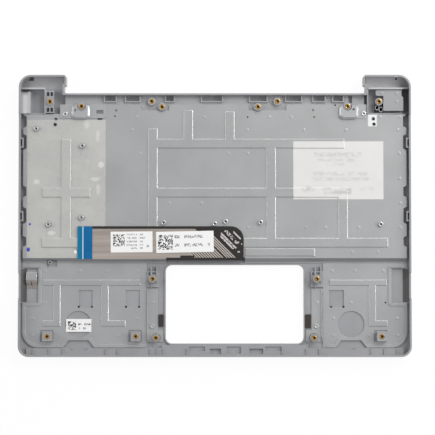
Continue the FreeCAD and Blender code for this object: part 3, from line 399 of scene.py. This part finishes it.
# Key legends: letters, digits and plain words in pale ink on the caps. They are read from the user side, so they
# run towards -X. Each stands on the cap that it rides with.
legend_ink = moulded_plastic("legend_ink", (0.62, 0.62, 0.62), 0.5, skin=0.0002, skin_depth=0.00001)
letter_pitch = 0.018497
row_start = 0.1341
function_step = 14.5 / 12 * letter_pitch
ink_height = 0.00002
letter_size = 0.0052
pair_size = 0.0034
word_size = 0.0032
function_size = 0.0030
function_rise = 0.0084
letter_rows = (
    ("backspace_key", 0.0, ("~\n`", "!\n1", "@\n2", "#\n3", "$\n4", "%\n5", "^\n6", "&\n7", "*\n8", "(\n9", ")\n0",
                            "_\n-", "+\n=")),
    ("tab_key", 1.5, ("Q", "W", "E", "R", "T", "Y", "U", "I", "O", "P", "{\n[", "}\n]", "|\n\\")),
    ("search_key", 1.75, ("A", "S", "D", "F", "G", "H", "J", "K", "L", ":\n;", "\"\n'")),
    ("left_shift_key", 2.25, ("Z", "X", "C", "V", "B", "N", "M", "<\n,", ">\n.", "?\n/")),
)
word_of = {
    "backspace_key": "back", "tab_key": "tab", "enter_key": "enter", "left_shift_key": "shift",
    "right_shift_key": "shift", "left_control_key": "ctrl", "left_alt_key": "alt", "right_alt_key": "alt",
    "right_control_key": "ctrl", "arrow_left_key": "<", "arrow_up_key": "^", "arrow_down_key": "v",
    "arrow_right_key": ">",
}


def legend(name, marks, body):
    """Flat letters on a key's face: each mark is its text, place and size."""
    letters = []
    for word, x, y, z, size in marks:
        bpy.ops.object.select_all(action="DESELECT")
        bpy.ops.object.text_add(location=(x, y, z), rotation=(0.0, math.pi, 0.0))
        mark = bpy.context.object
        mark.data.body = word
        mark.data.size = size
        mark.data.align_x = "CENTER"
        mark.data.align_y = "CENTER"
        mark.data.resolution_u = 2
        mark.data.extrude = ink_height / 2
        bpy.ops.object.convert(target="MESH")
        bpy.ops.object.transform_apply(location=True, rotation=True, scale=True)
        letters.append(bpy.context.object)
    bpy.ops.object.select_all(action="DESELECT")
    for mark in letters:
        mark.select_set(True)
    bpy.context.view_layer.objects.active = letters[0]
    if len(letters) > 1:
        bpy.ops.object.join()
    printed_on = bpy.context.object
    printed_on.name = name
    bpy.ops.object.mode_set(mode="EDIT")
    bpy.ops.mesh.select_all(action="SELECT")
    bpy.ops.mesh.remove_doubles(threshold=0.000001)
    bpy.ops.mesh.normals_make_consistent(inside=False)
    bpy.ops.object.mode_set(mode="OBJECT")
    printed_on.data.materials.clear()
    printed_on.data.materials.append(legend_ink)
    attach(printed_on, body)


like_marks = []
for row_key, units, caps in letter_rows:
    row_low, row_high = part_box(row_key)
    row_middle = (row_low.y + row_high.y) / 2
    for place, caption in enumerate(caps):
        size = pair_size if "\n" in caption else letter_size
        like_marks.append((caption, row_start - (units + place + 0.5) * letter_pitch, row_middle,
                           row_low.z - ink_height / 2, size))
number_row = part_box("backspace_key")
for place in range(12):
    like_marks.append(("esc" if place == 0 else f"f{place}", row_start - (place + 0.5) * function_step,
                       number_row[1].y + function_rise, number_row[0].z - ink_height / 2, function_size))
legend("like_key_legends", like_marks, "cover")
for key_name, word in word_of.items():
    key_low, key_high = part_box(key_name)
    mark = (word, (key_low.x + key_high.x) / 2, (key_low.y + key_high.y) / 2, key_low.z - ink_height / 2, word_size)
    legend(key_name.replace("_key", "_legend"), [mark], body_of[key_name])

# Steel plates: zinc-coated sheet, pressed and punched. The coat has a fine spangle and faint cloudy patches.
plate_colour = (0.50, 0.50, 0.495)
bare_colour = (0.90, 0.90, 0.89)
step_painted_shade = (0.375, 0.375, 0.38)
corner_plate_painted_shade = (0.415, 0.415, 0.415)
slot_painted_shade = (0.27, 0.27, 0.275)
hole_painted_shade = (0.03, 0.03, 0.03)


def coated_steel(name, colour, roughness, spangle=0.0009, patches=0.03, contrast=0.07, metallic=0.75):
    material = bpy.data.materials.new(name)
    material.use_nodes = True
    tree = material.node_tree
    shader = tree.nodes["Principled BSDF"]
    cloud = speckled(material, patches, 0.5)
    grain = speckled(material, spangle, 0.6, seed=0.7)
    blend = tree.nodes.new("ShaderNodeMix")
    blend.data_type = "FLOAT"
    blend.inputs["Factor"].default_value = 0.45
    link(material, cloud, "Fac", blend, "A")
    link(material, grain, "Fac", blend, "B")
    shades = shaded(material, blend, "Result", colour, contrast, 0.36, 0.64)
    link(material, shades, "Color", shader, "Base Color")
    dull = tree.nodes.new("ShaderNodeMapRange")
    dull.inputs["To Min"].default_value = roughness - 0.05
    dull.inputs["To Max"].default_value = roughness + 0.05
    link(material, grain, "Fac", dull, "Value")
    link(material, dull, "Result", shader, "Roughness")
    orange_peel = tree.nodes.new("ShaderNodeBump")
    orange_peel.inputs["Strength"].default_value = 0.25
    orange_peel.inputs["Distance"].default_value = 0.00003
    link(material, grain, "Fac", orange_peel, "Height")
    link(material, orange_peel, "Normal", shader, "Normal")
    shader.inputs["Metallic"].default_value = metallic
    return material


plate_steel = coated_steel("plate_steel", plate_colour, 0.46)
plate_x, plate_y, plate_z = in_millimetres(plate_steel)
bare_patch = patch(plate_steel, plate_x, plate_y, 113.6, 120.2, 66.4, 75.2, 0.4)
plate_shade = printed(plate_steel, base_of(plate_steel), bare_patch, bare_colour)

# Painted shade: pinholes are painted near black discs on the plates.
pinholes = round_spots(plate_steel, plate_x, plate_y, (
    (-74.1, 74.0), (24.3, 73.3), (73.7, 73.3), (89.3, 82.2), (126.3, -64.2)), 0.62)
# Painted shade on the front-facing step between the keyboard and palm levels of the plates.
step_slope_shade = reckon(plate_steel, "MULTIPLY", within(plate_steel, plate_y, -39.0, -30.0),
              within(plate_steel, plate_z, 2.35, 4.55))
# Painted shade: the raised right corner plate is painted darker than the other plates.
high_corner_shade = reckon(plate_steel, "MULTIPLY", patch(plate_steel, plate_x, plate_y, 118, 141, 76, 95, 0.4),
                     reckon(plate_steel, "GREATER_THAN", plate_z, 5.0))
plate_shade = printed(plate_steel, plate_shade, step_slope_shade, step_painted_shade)
plate_shade = printed(plate_steel, plate_shade, high_corner_shade, corner_plate_painted_shade)
# Painted shade on the floor of the slot near the plate's rear edge.
slot_floor_shade = patch(plate_steel, plate_x, plate_y, -87.9, -82.8, 75.7, 78.5, 0.25)
plate_shade = printed(plate_steel, plate_shade, slot_floor_shade, slot_painted_shade)
# Painted shade spots at the palm windows' bottom corners.
window_corner_shades = round_spots(plate_steel, plate_x, plate_y, window_corner_shade_spots, 0.85)
printed(plate_steel, plate_shade, either(plate_steel, pinholes, window_corner_shades), hole_painted_shade)
eased("keyboard_back_plate", 0.00012, plate_steel)
eased("left_palm_plate", 0.00012, plate_steel)
eased("right_palm_plate", 0.00012, plate_steel)
eased("right_corner_plate", 0.00012, plate_steel)
eased("left_touchpad_bracket", 0.00012, plate_steel)
eased("right_touchpad_bracket", 0.00012, plate_steel)

# Hinge brackets: thicker sheet with a drawn cup, a little brighter than the plates.
bracket_steel = coated_steel("bracket_steel", (0.53, 0.53, 0.53), 0.44, contrast=0.05)
eased("left_hinge_bracket", 0.00045, bracket_steel, 3)
eased("right_hinge_bracket", 0.00045, bracket_steel, 3)

# Earthing spring: bright strip, folded to touch the shell of the port's socket.
spring_steel = coated_steel("spring_steel", (0.80, 0.79, 0.76), 0.24, contrast=0.05, metallic=1.0)
spring_x, spring_y, _ = in_millimetres(spring_steel)
tarnish = reckon(spring_steel, "MULTIPLY", patch(spring_steel, spring_x, spring_y, -140, -131, -55, -47.5, 0.5), 0.55)
printed(spring_steel, base_of(spring_steel), tarnish, (0.42, 0.33, 0.24))
eased("port_ground_spring", 0.00010, spring_steel)

# Screw inserts: turned brass with a threaded bore, pressed hot into the cover's bosses.
brass_rim = 0.00195
brass_bore = 0.00095


def solid_middles(name, reach):
    """Middle of each separate solid of a CAD node."""
    solids = []
    for vertex in nodes[name].data.vertices:
        near = next((s for s in solids if ((s[0] + s[1]) / 2 - vertex.co).xy.length < reach), None)
        if near is None:
            solids.append([vertex.co.copy(), vertex.co.copy()])
        else:
            near[0] = Vector(map(min, near[0], vertex.co))
            near[1] = Vector(map(max, near[1], vertex.co))
    return [(s[0] + s[1]) / 2 for s in solids]


def turned(name, rim, bore, low, high, depth, rounding, sides=36):
    """Turned piece standing on the origin: a rim with a blind bore in its top."""
    bpy.ops.object.select_all(action="DESELECT")
    bpy.ops.mesh.primitive_cylinder_add(
        vertices=sides, radius=rim, depth=high - low, location=(0.0, 0.0, (high + low) / 2))
    piece = bpy.context.object
    piece.name = name
    bpy.ops.object.transform_apply(location=True, rotation=True, scale=True)
    bpy.ops.object.mode_set(mode="EDIT")
    bpy.ops.mesh.select_mode(type="FACE")
    shape = bmesh.from_edit_mesh(piece.data)
    for face in shape.faces:
        face.select_set(face.normal.z > 0.9)
    bmesh.update_edit_mesh(piece.data)
    bpy.ops.mesh.inset(thickness=rim - bore)
    bpy.ops.mesh.extrude_region_move(TRANSFORM_OT_translate={"value": (0.0, 0.0, -depth)})
    bpy.ops.object.mode_set(mode="OBJECT")
    edge = piece.modifiers.new("edge", "BEVEL")
    edge.width = rounding
    edge.segments = 2
    edge.limit_method = "ANGLE"
    edge.angle_limit = math.radians(50)
    bpy.ops.object.modifier_apply(modifier="edge")
    bpy.ops.object.shade_smooth_by_angle(angle=math.radians(40))
    return piece


def spread(piece, places):
    """One object of copies of a piece, a copy at each place."""
    twins = []
    for place in places:
        twin = piece.copy()
        twin.data = piece.data.copy()
        twin.data.transform(Matrix.Translation(place))
        scene.collection.objects.link(twin)
        twins.append(twin)
    name = piece.name
    bpy.data.objects.remove(piece)
    bpy.ops.object.select_all(action="DESELECT")
    for twin in twins:
        twin.select_set(True)
    bpy.context.view_layer.objects.active = twins[0]
    bpy.ops.object.join()
    joined = bpy.context.object
    joined.name = name
    return joined


insert_brass = coated_steel("insert_brass", (0.70, 0.43, 0.15), 0.28, contrast=0.10, metallic=1.0)
brass_low, brass_high = (corner.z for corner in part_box("screw_inserts"))
brass_inserts = turned("brass_inserts", brass_rim, brass_bore, brass_low, brass_high, 0.0036, 0.00022)
brass_places = [Vector((p.x, p.y, 0.0)) for p in solid_middles("screw_inserts", 0.006)]
brass_inserts = spread(brass_inserts, brass_places)
_, _, brass_z = in_millimetres(insert_brass)
# Painted shade: the brass darkens down into the bore, below its top.
brass_bore_shade = fading(insert_brass, brass_z, brass_high / mm - 0.3, brass_high / mm - 1.3)
printed(insert_brass, base_of(insert_brass), brass_bore_shade, (0.16, 0.075, 0.018))
brass_inserts.data.materials.append(insert_brass)
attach(brass_inserts, "cover")
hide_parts("screw_inserts")

# Studs: bright steel standoffs swaged into the keyboard plate, with a blind bore.
stud_rim = 0.00170
stud_bore = 0.00085
stud_steel = coated_steel("stud_steel", (0.88, 0.88, 0.88), 0.34, contrast=0.03, metallic=1.0)
stud_low, stud_high = (corner.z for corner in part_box("plate_studs"))
stud_places = [Vector((p.x, p.y, 0.0)) for p in solid_middles("plate_studs", 0.0045)]
plate_studs_turned = turned("turned_studs", stud_rim, stud_bore, stud_low, stud_high, 0.0015, 0.00035)
plate_studs_turned = spread(plate_studs_turned, stud_places)
_, _, stud_z = in_millimetres(stud_steel)
# Painted shade: the steel darkens into the bore and down the sides towards the plate.
stud_painted_shade = fading(stud_steel, stud_z, stud_high / mm - 0.3, stud_high / mm - 0.9)
printed(stud_steel, base_of(stud_steel), stud_painted_shade, (0.20, 0.20, 0.21))
plate_studs_turned.data.materials.append(stud_steel)
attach(plate_studs_turned, "cover")
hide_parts("plate_studs")

# Rivets of the hinge brackets: round heads with a formed hollow.
rivet_rim = 0.00180
rivet_bore = 0.00070
rivet_low, rivet_high = (corner.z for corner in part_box("hinge_rivets"))
rivet_places = [Vector((p.x, p.y, 0.0)) for p in solid_middles("hinge_rivets", 0.006)]
round_rivets = turned("round_rivets", rivet_rim, rivet_bore, rivet_low, rivet_high, 0.0006, 0.00035)
round_rivets = spread(round_rivets, rivet_places)
rivet_steel = coated_steel("rivet_steel", (0.88, 0.88, 0.88), 0.38, contrast=0.03, metallic=1.0)
_, _, rivet_z = in_millimetres(rivet_steel)
# Painted shade: the rivet darkens below the top of its head, into the hollow and down its sides.
rivet_hollow_shade = fading(rivet_steel, rivet_z, rivet_high / mm - 0.25, rivet_high / mm - 0.55)
printed(rivet_steel, base_of(rivet_steel), rivet_hollow_shade, (0.10, 0.10, 0.105))
round_rivets.data.materials.append(rivet_steel)
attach(round_rivets, "cover")
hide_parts("hinge_rivets")

# Screws of the touchpad brackets: low heads with a driver recess.
screw_rim = 0.00165
screw_recess = 0.00065
screw_low, screw_high = (corner.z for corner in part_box("bracket_screws"))
screw_places = [Vector((p.x, p.y, 0.0)) for p in solid_middles("bracket_screws", 0.006)]
low_screws = turned("low_screws", screw_rim, screw_recess, screw_low, screw_high, 0.0004, 0.00025)
low_screws = spread(low_screws, screw_places)
low_screws.data.materials.append(bracket_steel)
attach(low_screws, "cover")
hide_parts("bracket_screws")

# Press marks: shallow round bumps in the steel plates, over the stakes that hold the key lattice.
mark_rim = 0.0013
mark_height = 0.00010
plate_marks = (
    (73.4, (-57.9, -8.0, 40.3, 56.4, 122.6, 137.2)), (63.8, (-99.1, -61.6, 23.9, 65.8, 97.0, 135.6)),
    (46.2, (-138.0, -99.1, -87.6, -55.3, 9.8, 24.3, 136.6)), (37.9, (-84.6,)),
    (27.6, (-115.0, -99.1, -87.6, 136.8)), (25.2, (-132.0,)),
    (9.3, (-138.1, -102.2, -92.3, -34.0, -10.3, 137.2)), (-4.9, (-63.5,)),
    (-8.7, (24.6, 67.4, 81.9, 106.4, 137.2)), (-12.9, (-120.9,)), (-26.9, (63.2, 101.2, 120.5)),
)
palm_marks = (
    (-40.8, (-125.9, -99.8, -79.8, -57.6, 86.6, 103.8, 124.7)), (-64.3, (-125.9, -45.6, 75.7, 100.7)),
    (-76.0, (-134.8, -57.7, 87.7, 134.6)), (-88.6, (-134.8, -71.4, 87.7, 113.7, 135.3)),
)
plate_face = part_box("plate_studs")[0].z
palm_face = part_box("palm_label")[0].z
mark_places = [Vector((x * mm, y * mm, plate_face)) for y, row in plate_marks for x in row]
mark_places += [Vector((x * mm, y * mm, palm_face)) for y, row in palm_marks for x in row]
corner_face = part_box("right_corner_plate")[1].z
mark_places += [Vector((x * mm, y * mm, corner_face)) for x, y in ((123.6, 91.2), (134.6, 90.9), (134.6, 84.8))]
bpy.ops.object.select_all(action="DESELECT")
bpy.ops.mesh.primitive_uv_sphere_add(segments=24, ring_count=12, radius=mark_rim)
press_marks = bpy.context.object
press_marks.name = "press_marks"
press_marks.scale = (1.0, 1.0, mark_height / mark_rim)
bpy.ops.object.transform_apply(location=True, rotation=True, scale=True)
bpy.ops.object.shade_smooth()
press_marks = spread(press_marks, mark_places)
press_marks.data.materials.append(plate_steel)
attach(press_marks, "cover")

# Foam: two dark closed-cell pads stuck beside the touchpad window.
foam_rubber = moulded_plastic("foam_rubber", (0.045, 0.034, 0.028), 0.9, skin=0.0006, skin_depth=0.0002)
eased("left_foam_block", 0.00040, foam_rubber, 3)
eased("right_foam_block", 0.00040, foam_rubber, 3)

# Right corner: two pale rims beside the brass insert, on a black block whose black is painted shade for dark openings.
opening_shade_black = moulded_plastic("opening_shade_black", (0.012, 0.011, 0.011), 0.5)
corner_floor = 0.0016
socket_size = (0.0064, 0.0068, 0.0028)
bpy.ops.object.select_all(action="DESELECT")
bpy.ops.mesh.primitive_cube_add(size=1.0, location=(0.12195, 0.0797, corner_floor + socket_size[2] / 2))
dark_corner_block = bpy.context.object
dark_corner_block.name = "dark_corner_block"
dark_corner_block.scale = socket_size
bpy.ops.object.transform_apply(location=True, rotation=True, scale=True)
socket_edge = dark_corner_block.modifiers.new("edge", "BEVEL")
socket_edge.width = 0.0004
socket_edge.segments = 3
bpy.ops.object.modifier_apply(modifier="edge")
bpy.ops.object.shade_smooth_by_angle(angle=math.radians(40))
dark_corner_block.data.materials.append(opening_shade_black)
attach(dark_corner_block, "cover")
socket_rims = turned("socket_rims", 0.00165, 0.00115, corner_floor + 0.0026, corner_floor + 0.0034, 0.0006, 0.00015)
socket_rims.scale = (1.0, 1.25, 1.0)
bpy.ops.object.transform_apply(location=True, rotation=True, scale=True)
socket_rims = spread(socket_rims, [Vector((0.1204, 0.0803, 0.0)), Vector((0.1232, 0.0789, 0.0))])
socket_rims.data.materials.append(cover_plastic)
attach(socket_rims, "cover")

# Marker dots: two touches of blue ink on the film, as left by the fitter, and a white dot beside the tail that is a
# painted highlight.
ink_blue = moulded_plastic("ink_blue", (0.05, 0.07, 0.42), 0.5)
highlight_paint = moulded_plastic("highlight_paint", (0.85, 0.85, 0.84), 0.5)
film_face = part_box("insulation_film")[0].z + 0.0001
dots = (
    ("blue_dot_rear", -136.8, -6.2, 0.00075, ink_blue), ("blue_dot_front", -137.9, -25.0, 0.00125, ink_blue),
    ("white_highlight_dot", -102.9, -26.9, 0.00120, highlight_paint),
)
for dot_name, dot_x, dot_y, dot_r, dot_paint in dots:
    bpy.ops.object.select_all(action="DESELECT")
    bpy.ops.mesh.primitive_uv_sphere_add(
        segments=24, ring_count=12, radius=dot_r, location=(dot_x * mm, dot_y * mm, film_face))
    dot = bpy.context.object
    dot.name = dot_name
    dot.scale = (1.0, 1.2, 0.00009 / dot_r)
    bpy.ops.object.transform_apply(location=True, rotation=True, scale=True)
    bpy.ops.object.shade_smooth()
    dot.data.materials.append(dot_paint)
    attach(dot, "cover")

# Insulation film: thin milky polyester over the left part of the keyboard plate, stuck with cloudy glue.
clear_film = bpy.data.materials.new("clear_film")
clear_film.use_nodes = True
film_tree = clear_film.node_tree
film_shader = film_tree.nodes["Principled BSDF"]
film_shader.inputs["Base Color"].default_value = (0.72, 0.71, 0.67, 1.0)
film_shader.inputs["Roughness"].default_value = 0.30
glue = speckled(clear_film, 0.020, 0.35, detail=2.0)
glue_share = film_tree.nodes.new("ShaderNodeMapRange")
glue_share.inputs["From Min"].default_value = 0.35
glue_share.inputs["From Max"].default_value = 0.70
glue_share.inputs["To Min"].default_value = 0.28
glue_share.inputs["To Max"].default_value = 0.44
link(clear_film, glue, "Fac", glue_share, "Value")
film_x, film_y, _ = in_millimetres(clear_film)
ragged = reckon(clear_film, "MULTIPLY", speckled(clear_film, 0.0045, 0.5, seed=0.9).outputs["Fac"], 1.3)
glue_and_highlight_smears = []
# Milky smears: the first three lie on press marks and are a painted highlight of their rims; the rest are thick glue.
for smear_x, smear_y, smear_w, smear_h, strength in (
        (-120.7, -12.9, 3.4, 2.2, 1.0), (-84.5, 37.7, 2.7, 2.6, 1.0), (-131.9, 25.0, 2.6, 2.4, 0.9),
        (-88.7, 27.2, 4.6, 2.0, 0.9), (-86.4, 19.6, 1.8, 5.0, 0.6), (-86.8, 59.2, 2.0, 5.2, 0.6),
        (-94.9, 68.0, 2.6, 4.4, 0.6), (-94.6, 40.5, 2.0, 2.0, 0.3)):
    off_x = reckon(clear_film, "ABSOLUTE", reckon(clear_film, "MULTIPLY", reckon(
        clear_film, "SUBTRACT", film_x, smear_x), 1 / smear_w))
    off_y = reckon(clear_film, "ABSOLUTE", reckon(clear_film, "MULTIPLY", reckon(
        clear_film, "SUBTRACT", film_y, smear_y), 1 / smear_h))
    off = reckon(clear_film, "ADD", reckon(clear_film, "POWER", off_x, 2.0), reckon(clear_film, "POWER", off_y, 2.0))
    smear = fading(clear_film, reckon(clear_film, "ADD", off, ragged), 1.75, 0.75)
    glue_and_highlight_smears.append(reckon(clear_film, "MULTIPLY", smear, strength))
glue_and_highlight = reckon(clear_film, "MULTIPLY", either(clear_film, *glue_and_highlight_smears), 0.42)
film_alpha = reckon(clear_film, "ADD", glue_share.outputs["Result"], glue_and_highlight)
film_hole = round_spots(clear_film, film_x, film_y, ((-118.5, 67.7),), 1.5)
film_alpha = reckon(clear_film, "MULTIPLY", film_alpha, reckon(clear_film, "SUBTRACT", 1.0, film_hole))
clear_film.node_tree.links.new(film_alpha, film_shader.inputs["Alpha"])
dress(clear_film, "insulation_film")

# Keyboard tail: polyester film printed with silver tracks and a black cover coat, folded round the plate's edge.
# Its tan field has tracks along it; at the right end they turn off at 45 degrees on black.
tail_tan = (0.325, 0.285, 0.252)
tail_black = (0.022, 0.018, 0.017)
tail_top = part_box("keyboard_flex_tail")[1].y / mm
top_border = 1.9
turn_off = -24.3
tracks_one = (-45.9, -24.3, 2.05)
tracks_two = (-22.4, -15.0, 1.95)


def random_cells(material, x, y, across, down, share):
    """1 or 0 at random in each cell of a grid."""
    tree = material.node_tree
    cell = tree.nodes.new("ShaderNodeCombineXYZ")
    column = reckon(material, "FLOOR", reckon(material, "DIVIDE", x, across))
    row = reckon(material, "FLOOR", reckon(material, "DIVIDE", y, down))
    tree.links.new(column, cell.inputs["X"])
    tree.links.new(row, cell.inputs["Y"])
    chance = tree.nodes.new("ShaderNodeTexWhiteNoise")
    chance.noise_dimensions = "2D"
    link(material, cell, "Vector", chance, "Vector")
    return reckon(material, "LESS_THAN", chance.outputs["Value"], share)


flex_film = bpy.data.materials.new("flex_film")
flex_film.use_nodes = True
flex_shader = flex_film.node_tree.nodes["Principled BSDF"]
flex_shader.inputs["Roughness"].default_value = 0.34
streaks = speckled(flex_film, 0.0022, 0.7, stretch=(0.02, 1.0, 1.0))
tan = shaded(flex_film, streaks, "Fac", tail_tan, 0.22)
tail_x, tail_y, _ = in_millimetres(flex_film)
slant = reckon(flex_film, "ADD", tail_x, tail_y)
past_turn = reckon(flex_film, "GREATER_THAN", slant, turn_off)
black_corner = reckon(flex_film, "MULTIPLY", reckon(flex_film, "GREATER_THAN", tail_x, -3.7),
                      reckon(flex_film, "GREATER_THAN", tail_y, -12.0))
low_black = reckon(flex_film, "MULTIPLY", reckon(flex_film, "LESS_THAN", tail_y, -31.0),
                   reckon(flex_film, "GREATER_THAN", tail_x, -36.0))
low_step = reckon(flex_film, "MULTIPLY", reckon(flex_film, "LESS_THAN", tail_y, -29.4),
                  within(flex_film, tail_x, -25.5, -15.1))
top_black = reckon(flex_film, "GREATER_THAN", tail_y, tail_top - top_border)
field = printed(flex_film, tan.outputs["Color"], either(flex_film, past_turn, black_corner), tail_black)
silver = []
for band_low, band_high, pitch in (tracks_one, tracks_two):
    wave = reckon(flex_film, "FRACT", reckon(flex_film, "DIVIDE", slant, pitch))
    tracks = reckon(flex_film, "MULTIPLY", within(flex_film, slant, band_low, band_high),
                    reckon(flex_film, "LESS_THAN", tail_y, -13.5))
    silver.append(reckon(flex_film, "MULTIPLY", tracks, reckon(flex_film, "GREATER_THAN", wave, 0.42)))
dark_lines = reckon(flex_film, "MULTIPLY", within(flex_film, slant, tracks_one[0], tracks_one[1]),
                    reckon(flex_film, "LESS_THAN", tail_y, -25.5))
field = printed(flex_film, field, dark_lines, tail_black)
field = printed(flex_film, field, either(flex_film, *silver), (0.44, 0.395, 0.355))
along = reckon(flex_film, "SUBTRACT", tail_x, tail_y)
print_rows = []
for row_low, row_high, start, end, density in (
        (-11.7, -9.9, 19.0, 38.5, 0.86), (-9.3, -7.5, 17.0, 40.0, 0.88), (-5.0, -1.6, 18.5, 37.9, 0.45),
        (1.1, 2.6, 24.6, 36.5, 0.85)):
    row = reckon(flex_film, "MULTIPLY", within(flex_film, slant, row_low, row_high),
                 within(flex_film, along, start, end))
    print_rows.append(reckon(flex_film, "MULTIPLY", row, random_cells(flex_film, along, slant, 0.9, 0.9, density)))
pads = [patch(flex_film, tail_x, tail_y, 16.8, 18.5, -27.2, -26.2, 0.3),
        patch(flex_film, tail_x, tail_y, 19.5, 20.2, -21.4, -20.4, 0.2)]
field = printed(flex_film, field, either(flex_film, *print_rows, *pads), (0.52, 0.49, 0.46))
printed(flex_film, field, either(flex_film, low_black, low_step, top_black), tail_black)
dress(flex_film, "keyboard_flex_tail")

# Stiffener: blue tape on the tail's plug end, with a pale gap line where its two strips meet.
stiffener_blue = bpy.data.materials.new("stiffener_blue")
stiffener_blue.use_nodes = True
blue_shader = stiffener_blue.node_tree.nodes["Principled BSDF"]
blue_shader.inputs["Roughness"].default_value = 0.32
blue_shader.inputs["Specular IOR Level"].default_value = 0.2
blue_cloud = speckled(stiffener_blue, 0.006, 0.5)
blue = shaded(stiffener_blue, blue_cloud, "Fac", (0.007, 0.118, 0.285), 0.10)
tape_x, _, _ = in_millimetres(stiffener_blue)
outer_strip = reckon(stiffener_blue, "LESS_THAN", tape_x, -97.4)
tape = printed(stiffener_blue, blue.outputs["Color"], outer_strip, (0.008, 0.155, 0.290))
printed(stiffener_blue, tape, within(stiffener_blue, tape_x, -97.75, -97.1), (0.55, 0.66, 0.74))
dress(stiffener_blue, "flex_stiffener")

# Labels: white paper with unreadable print, a square of random cells and lines of small marks.
paper_white = (0.80, 0.79, 0.775)
ink_black = (0.035, 0.034, 0.036)
ink_grey = (0.30, 0.30, 0.31)


def printed_label(name, corner, turn, code, lines, ink):
    """Paper printed with a code square and text lines, in millimetres from the label's lower left corner."""
    material = bpy.data.materials.new(name)
    material.use_nodes = True
    shader = material.node_tree.nodes["Principled BSDF"]
    shader.inputs["Roughness"].default_value = 0.62
    fibres = speckled(material, 0.0012, 0.6)
    paper = shaded(material, fibres, "Fac", paper_white, 0.02)
    link(material, paper, "Color", shader, "Base Color")
    x, y, _ = in_millimetres(material, corner, turn)
    surface = paper.outputs["Color"]
    if code:
        x0, x1, y0, y1, cell = code
        square = reckon(material, "MULTIPLY", within(material, x, x0, x1), within(material, y, y0, y1))
        cells = random_cells(material, x, y, cell, cell, 0.5)
        surface = printed(material, surface, reckon(material, "MULTIPLY", square, cells), ink_black)
    rows = []
    for x0, x1, middle, height in lines:
        row = reckon(material, "MULTIPLY", within(material, x, x0, x1),
                     within(material, y, middle - height / 2, middle + height / 2))
        letters = random_cells(material, x, y, height * 0.28, height * 0.34, 0.62)
        words = random_cells(material, x, reckon(material, "MULTIPLY", y, 0.01), height * 1.5, 1.0, 0.86)
        rows.append(reckon(material, "MULTIPLY", row, reckon(material, "MULTIPLY", letters, words)))
    surface = printed(material, surface, either(material, *rows), ink)
    return material


left_print = printed_label(
    "left_print", (-76.9, -27.1), 0.5, (1.8, 10.4, 4.4, 13.2, 0.55),
    ((11.3, 24.0, 13.0, 1.3), (11.3, 27.0, 10.5, 1.3), (11.3, 24.0, 7.9, 1.3), (11.3, 24.0, 5.3, 1.3),
     (14.6, 24.0, 2.9, 1.3), (25.5, 28.6, 4.5, 1.6)), ink_grey)
dress(left_print, "flex_label_left")
right_print = printed_label(
    "right_print", (-43.1, -27.3), 1.2, (1.3, 12.3, 2.0, 13.0, 0.62),
    ((13.5, 38.0, 11.4, 2.3), (13.5, 39.5, 5.2, 2.3)), ink_grey)
dress(right_print, "flex_label_right")
palm_print = printed_label(
    "palm_print", (-110.0, -85.8), 0.0, (1.3, 7.4, 1.4, 7.7, 0.62),
    ((8.9, 18.0, 5.6, 1.5), (9.7, 15.0, 2.6, 1.4)), (0.12, 0.12, 0.13))
dress(palm_print, "palm_label")

# Large label: matt paper whose faded print is only soft grey smudges.
large_print = bpy.data.materials.new("large_print")
large_print.use_nodes = True
large_print.node_tree.nodes["Principled BSDF"].inputs["Roughness"].default_value = 0.75
large_paper = shaded(large_print, speckled(large_print, 0.010, 0.5), "Fac", (0.64, 0.63, 0.61), 0.02)
large_x, large_y, _ = in_millimetres(large_print, (58.1, 12.1))
faded = []
for x0, x1, middle, height, strength in (
        (15.5, 50.5, 33.3, 3.0, 0.55), (17.5, 45.5, 29.3, 2.4, 0.35), (24.5, 38.0, 25.9, 2.0, 0.30),
        (13.8, 55.0, 19.0, 2.6, 0.40), (13.0, 56.0, 15.2, 2.6, 0.40), (6.5, 15.5, 7.6, 3.6, 0.60),
        (22.0, 43.0, 6.3, 5.0, 0.60), (49.0, 60.0, 8.0, 2.6, 0.25)):
    smudge = patch(large_print, large_x, large_y, x0, x1, middle - height / 2, middle + height / 2, 1.1)
    faded.append(reckon(large_print, "MULTIPLY", smudge, strength))
blots = speckled(large_print, 0.0022, 0.3, detail=1.0, stretch=(0.6, 1.0, 1.0))
worn = fading(large_print, blots.outputs["Fac"], 0.25, 0.65)
ink_left = reckon(large_print, "MULTIPLY", either(large_print, *faded), worn)
printed(large_print, large_paper.outputs["Color"], ink_left, (0.40, 0.385, 0.37))
dress(large_print, "large_label")
